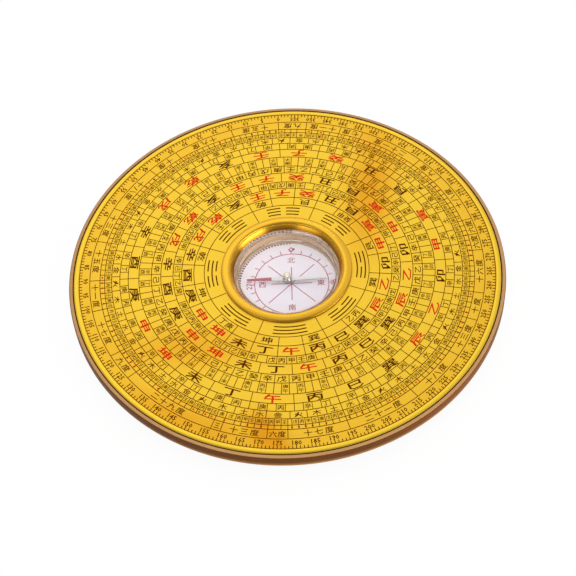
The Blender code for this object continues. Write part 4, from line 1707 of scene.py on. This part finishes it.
class COMPASS_OT_stage(CompassOperator, bpy.types.Operator):
    """Set the floor, the soft lamps, the room and the camera"""

    bl_idname = "compass.stage"
    bl_label = "Studio"

    def execute(self, context):
        studio = context.scene.compass_studio
        self.floor(context, studio)
        self.room(context, studio)
        for name, place, size, power, mirrored in LAMPS:
            light = bpy.data.lights.new(name, "AREA")
            light.shape = "RECTANGLE"
            light.size, light.size_y = size
            light.energy = power
            lamp = bpy.data.objects.new(name, light)
            lamp.visible_glossy = mirrored
            lamp.location = place
            lamp.rotation_euler = (-Vector(place)).to_track_quat("-Z", "Y").to_euler()
            context.scene.collection.objects.link(lamp)
        self.camera(context)
        context.scene.view_settings.view_transform = "Standard"
        return {"FINISHED"}

    def seen_directly(self, tree):
        """1 for rays that show the background itself, also in metal and glass."""
        ray = add_node(tree, "ShaderNodeLightPath").outputs
        either = calculate(tree, "MAXIMUM", ray["Is Camera Ray"], ray["Is Glossy Ray"])
        return calculate(tree, "MAXIMUM", either, ray["Is Transmission Ray"])

    def floor(self, context, studio):
        """A white floor that keeps the object's shadow."""
        half = studio.floor_size / 2
        mesh = bpy.data.meshes.new("floor")
        corners = [(-half, -half, 0), (half, -half, 0), (half, half, 0), (-half, half, 0)]
        mesh.from_pydata(corners, [], [(0, 1, 2, 3)])
        plain = {"Base_Color": studio.floor_colour, "Roughness": 0.9, "Specular_IOR_Level": 0.0}
        material, tree, _ = new_finish("Studio floor", **plain)
        share = calculate(tree, "MULTIPLY", self.seen_directly(tree), studio.floor_glow)
        blend_surface(tree, share, add_node(tree, "ShaderNodeEmission", {"Strength": 1.0}))
        mesh.materials.append(material)
        plane = bpy.data.objects.new("floor", mesh)
        context.scene.collection.objects.link(plane)

    def room(self, context, studio):
        """Soft light from all round, strongest from behind the compass."""
        world = bpy.data.worlds.new("room")
        world.use_nodes = True
        tree = world.node_tree
        facing = vector_math(tree, "DOT_PRODUCT", object_place(tree), BACK_OF_ROOM).outputs["Value"]
        limits = {"From Min": ROOM_FADE[0], "From Max": ROOM_FADE[1]}
        limits |= {"To Min": studio.front_light, "To Max": studio.back_light}
        strength = add_node(
            tree, "ShaderNodeMapRange", {"Value": facing, **limits}, interpolation_type="SMOOTHSTEP"
        )
        background = tree.nodes["Background"]
        background.inputs["Color"].default_value = (1.0, 1.0, 1.0, 1.0)
        tree.links.new(strength.outputs[0], background.inputs["Strength"])
        context.scene.world = world

    def camera(self, context):
        """The photograph's camera."""
        elevation, azimuth, roll = (math.radians(value) for value in CAMERA_ANGLES)
        level = math.cos(elevation)
        back = Vector((math.sin(azimuth) * level, -math.cos(azimuth) * level, math.sin(elevation)))
        right = Vector((0.0, 0.0, 1.0)).cross(back).normalized()
        up = back.cross(right)
        tilted_right = math.cos(roll) * right + math.sin(roll) * up
        tilted_up = -math.sin(roll) * right + math.cos(roll) * up
        place = Vector((CAMERA_AIM[0] * MM, CAMERA_AIM[1] * MM, FACE)) + back * CAMERA_DISTANCE * MM
        view = bpy.data.cameras.new("camera")
        view.sensor_width = CAMERA_SENSOR
        view.lens = CAMERA_LENS
        view.clip_start = 0.01
        view.clip_end = 20.0
        camera = bpy.data.objects.new("camera", view)
        axes = Matrix((tilted_right, tilted_up, back)).transposed()
        camera.matrix_world = Matrix.Translation(place) @ axes.to_4x4()
        context.scene.collection.objects.link(camera)
        context.scene.camera = camera


PROPERTY_GROUPS = {
    "compass_body": CompassBody,
    "compass_print": CompassPrint,
    "compass_colours": CompassColours,
    "compass_studio": CompassStudio,
}
OPERATORS = (
    COMPASS_OT_base,
    COMPASS_OT_dial,
    COMPASS_OT_bezel,
    COMPASS_OT_capsule,
    COMPASS_OT_movement,
    COMPASS_OT_lines,
    COMPASS_OT_characters,
    COMPASS_OT_degrees,
    COMPASS_OT_card,
    COMPASS_OT_stage,
)


class COMPASS_PT_build(bpy.types.Panel):
    """Lists the pieces of the compass"""

    bl_idname = "COMPASS_PT_build"
    bl_label = "Round Compass"
    bl_space_type = "VIEW_3D"
    bl_region_type = "UI"
    bl_category = "Compass"

    def draw(self, context):
        for operator in OPERATORS:
            self.layout.operator(operator.bl_idname)
        for name, group in PROPERTY_GROUPS.items():
            box = self.layout.box()
            box.label(text=group.__doc__)
            for field in group.__annotations__:
                box.prop(getattr(context.scene, name), field)


def register():
    """Register the properties, the operators and the panel."""
    for name, group in PROPERTY_GROUPS.items():
        bpy.utils.register_class(group)
        setattr(bpy.types.Scene, name, bpy.props.PointerProperty(type=group))
    for entry in (*OPERATORS, COMPASS_PT_build):
        bpy.utils.register_class(entry)


def unregister():
    """Take them out again."""
    for entry in (COMPASS_PT_build, *reversed(OPERATORS)):
        bpy.utils.unregister_class(entry)
    for name, group in PROPERTY_GROUPS.items():
        delattr(bpy.types.Scene, name)
        bpy.utils.unregister_class(group)


def main():
    """Build the whole compass and its stage."""
    register()
    bpy.ops.compass.base()
    bpy.ops.compass.dial()
    bpy.ops.compass.bezel()
    bpy.ops.compass.capsule()
    bpy.ops.compass.movement()
    bpy.ops.compass.lines()
    bpy.ops.compass.characters()
    bpy.ops.compass.degrees()
    bpy.ops.compass.card()
    bpy.ops.compass.stage()


if __name__ == "__main__":
    main()
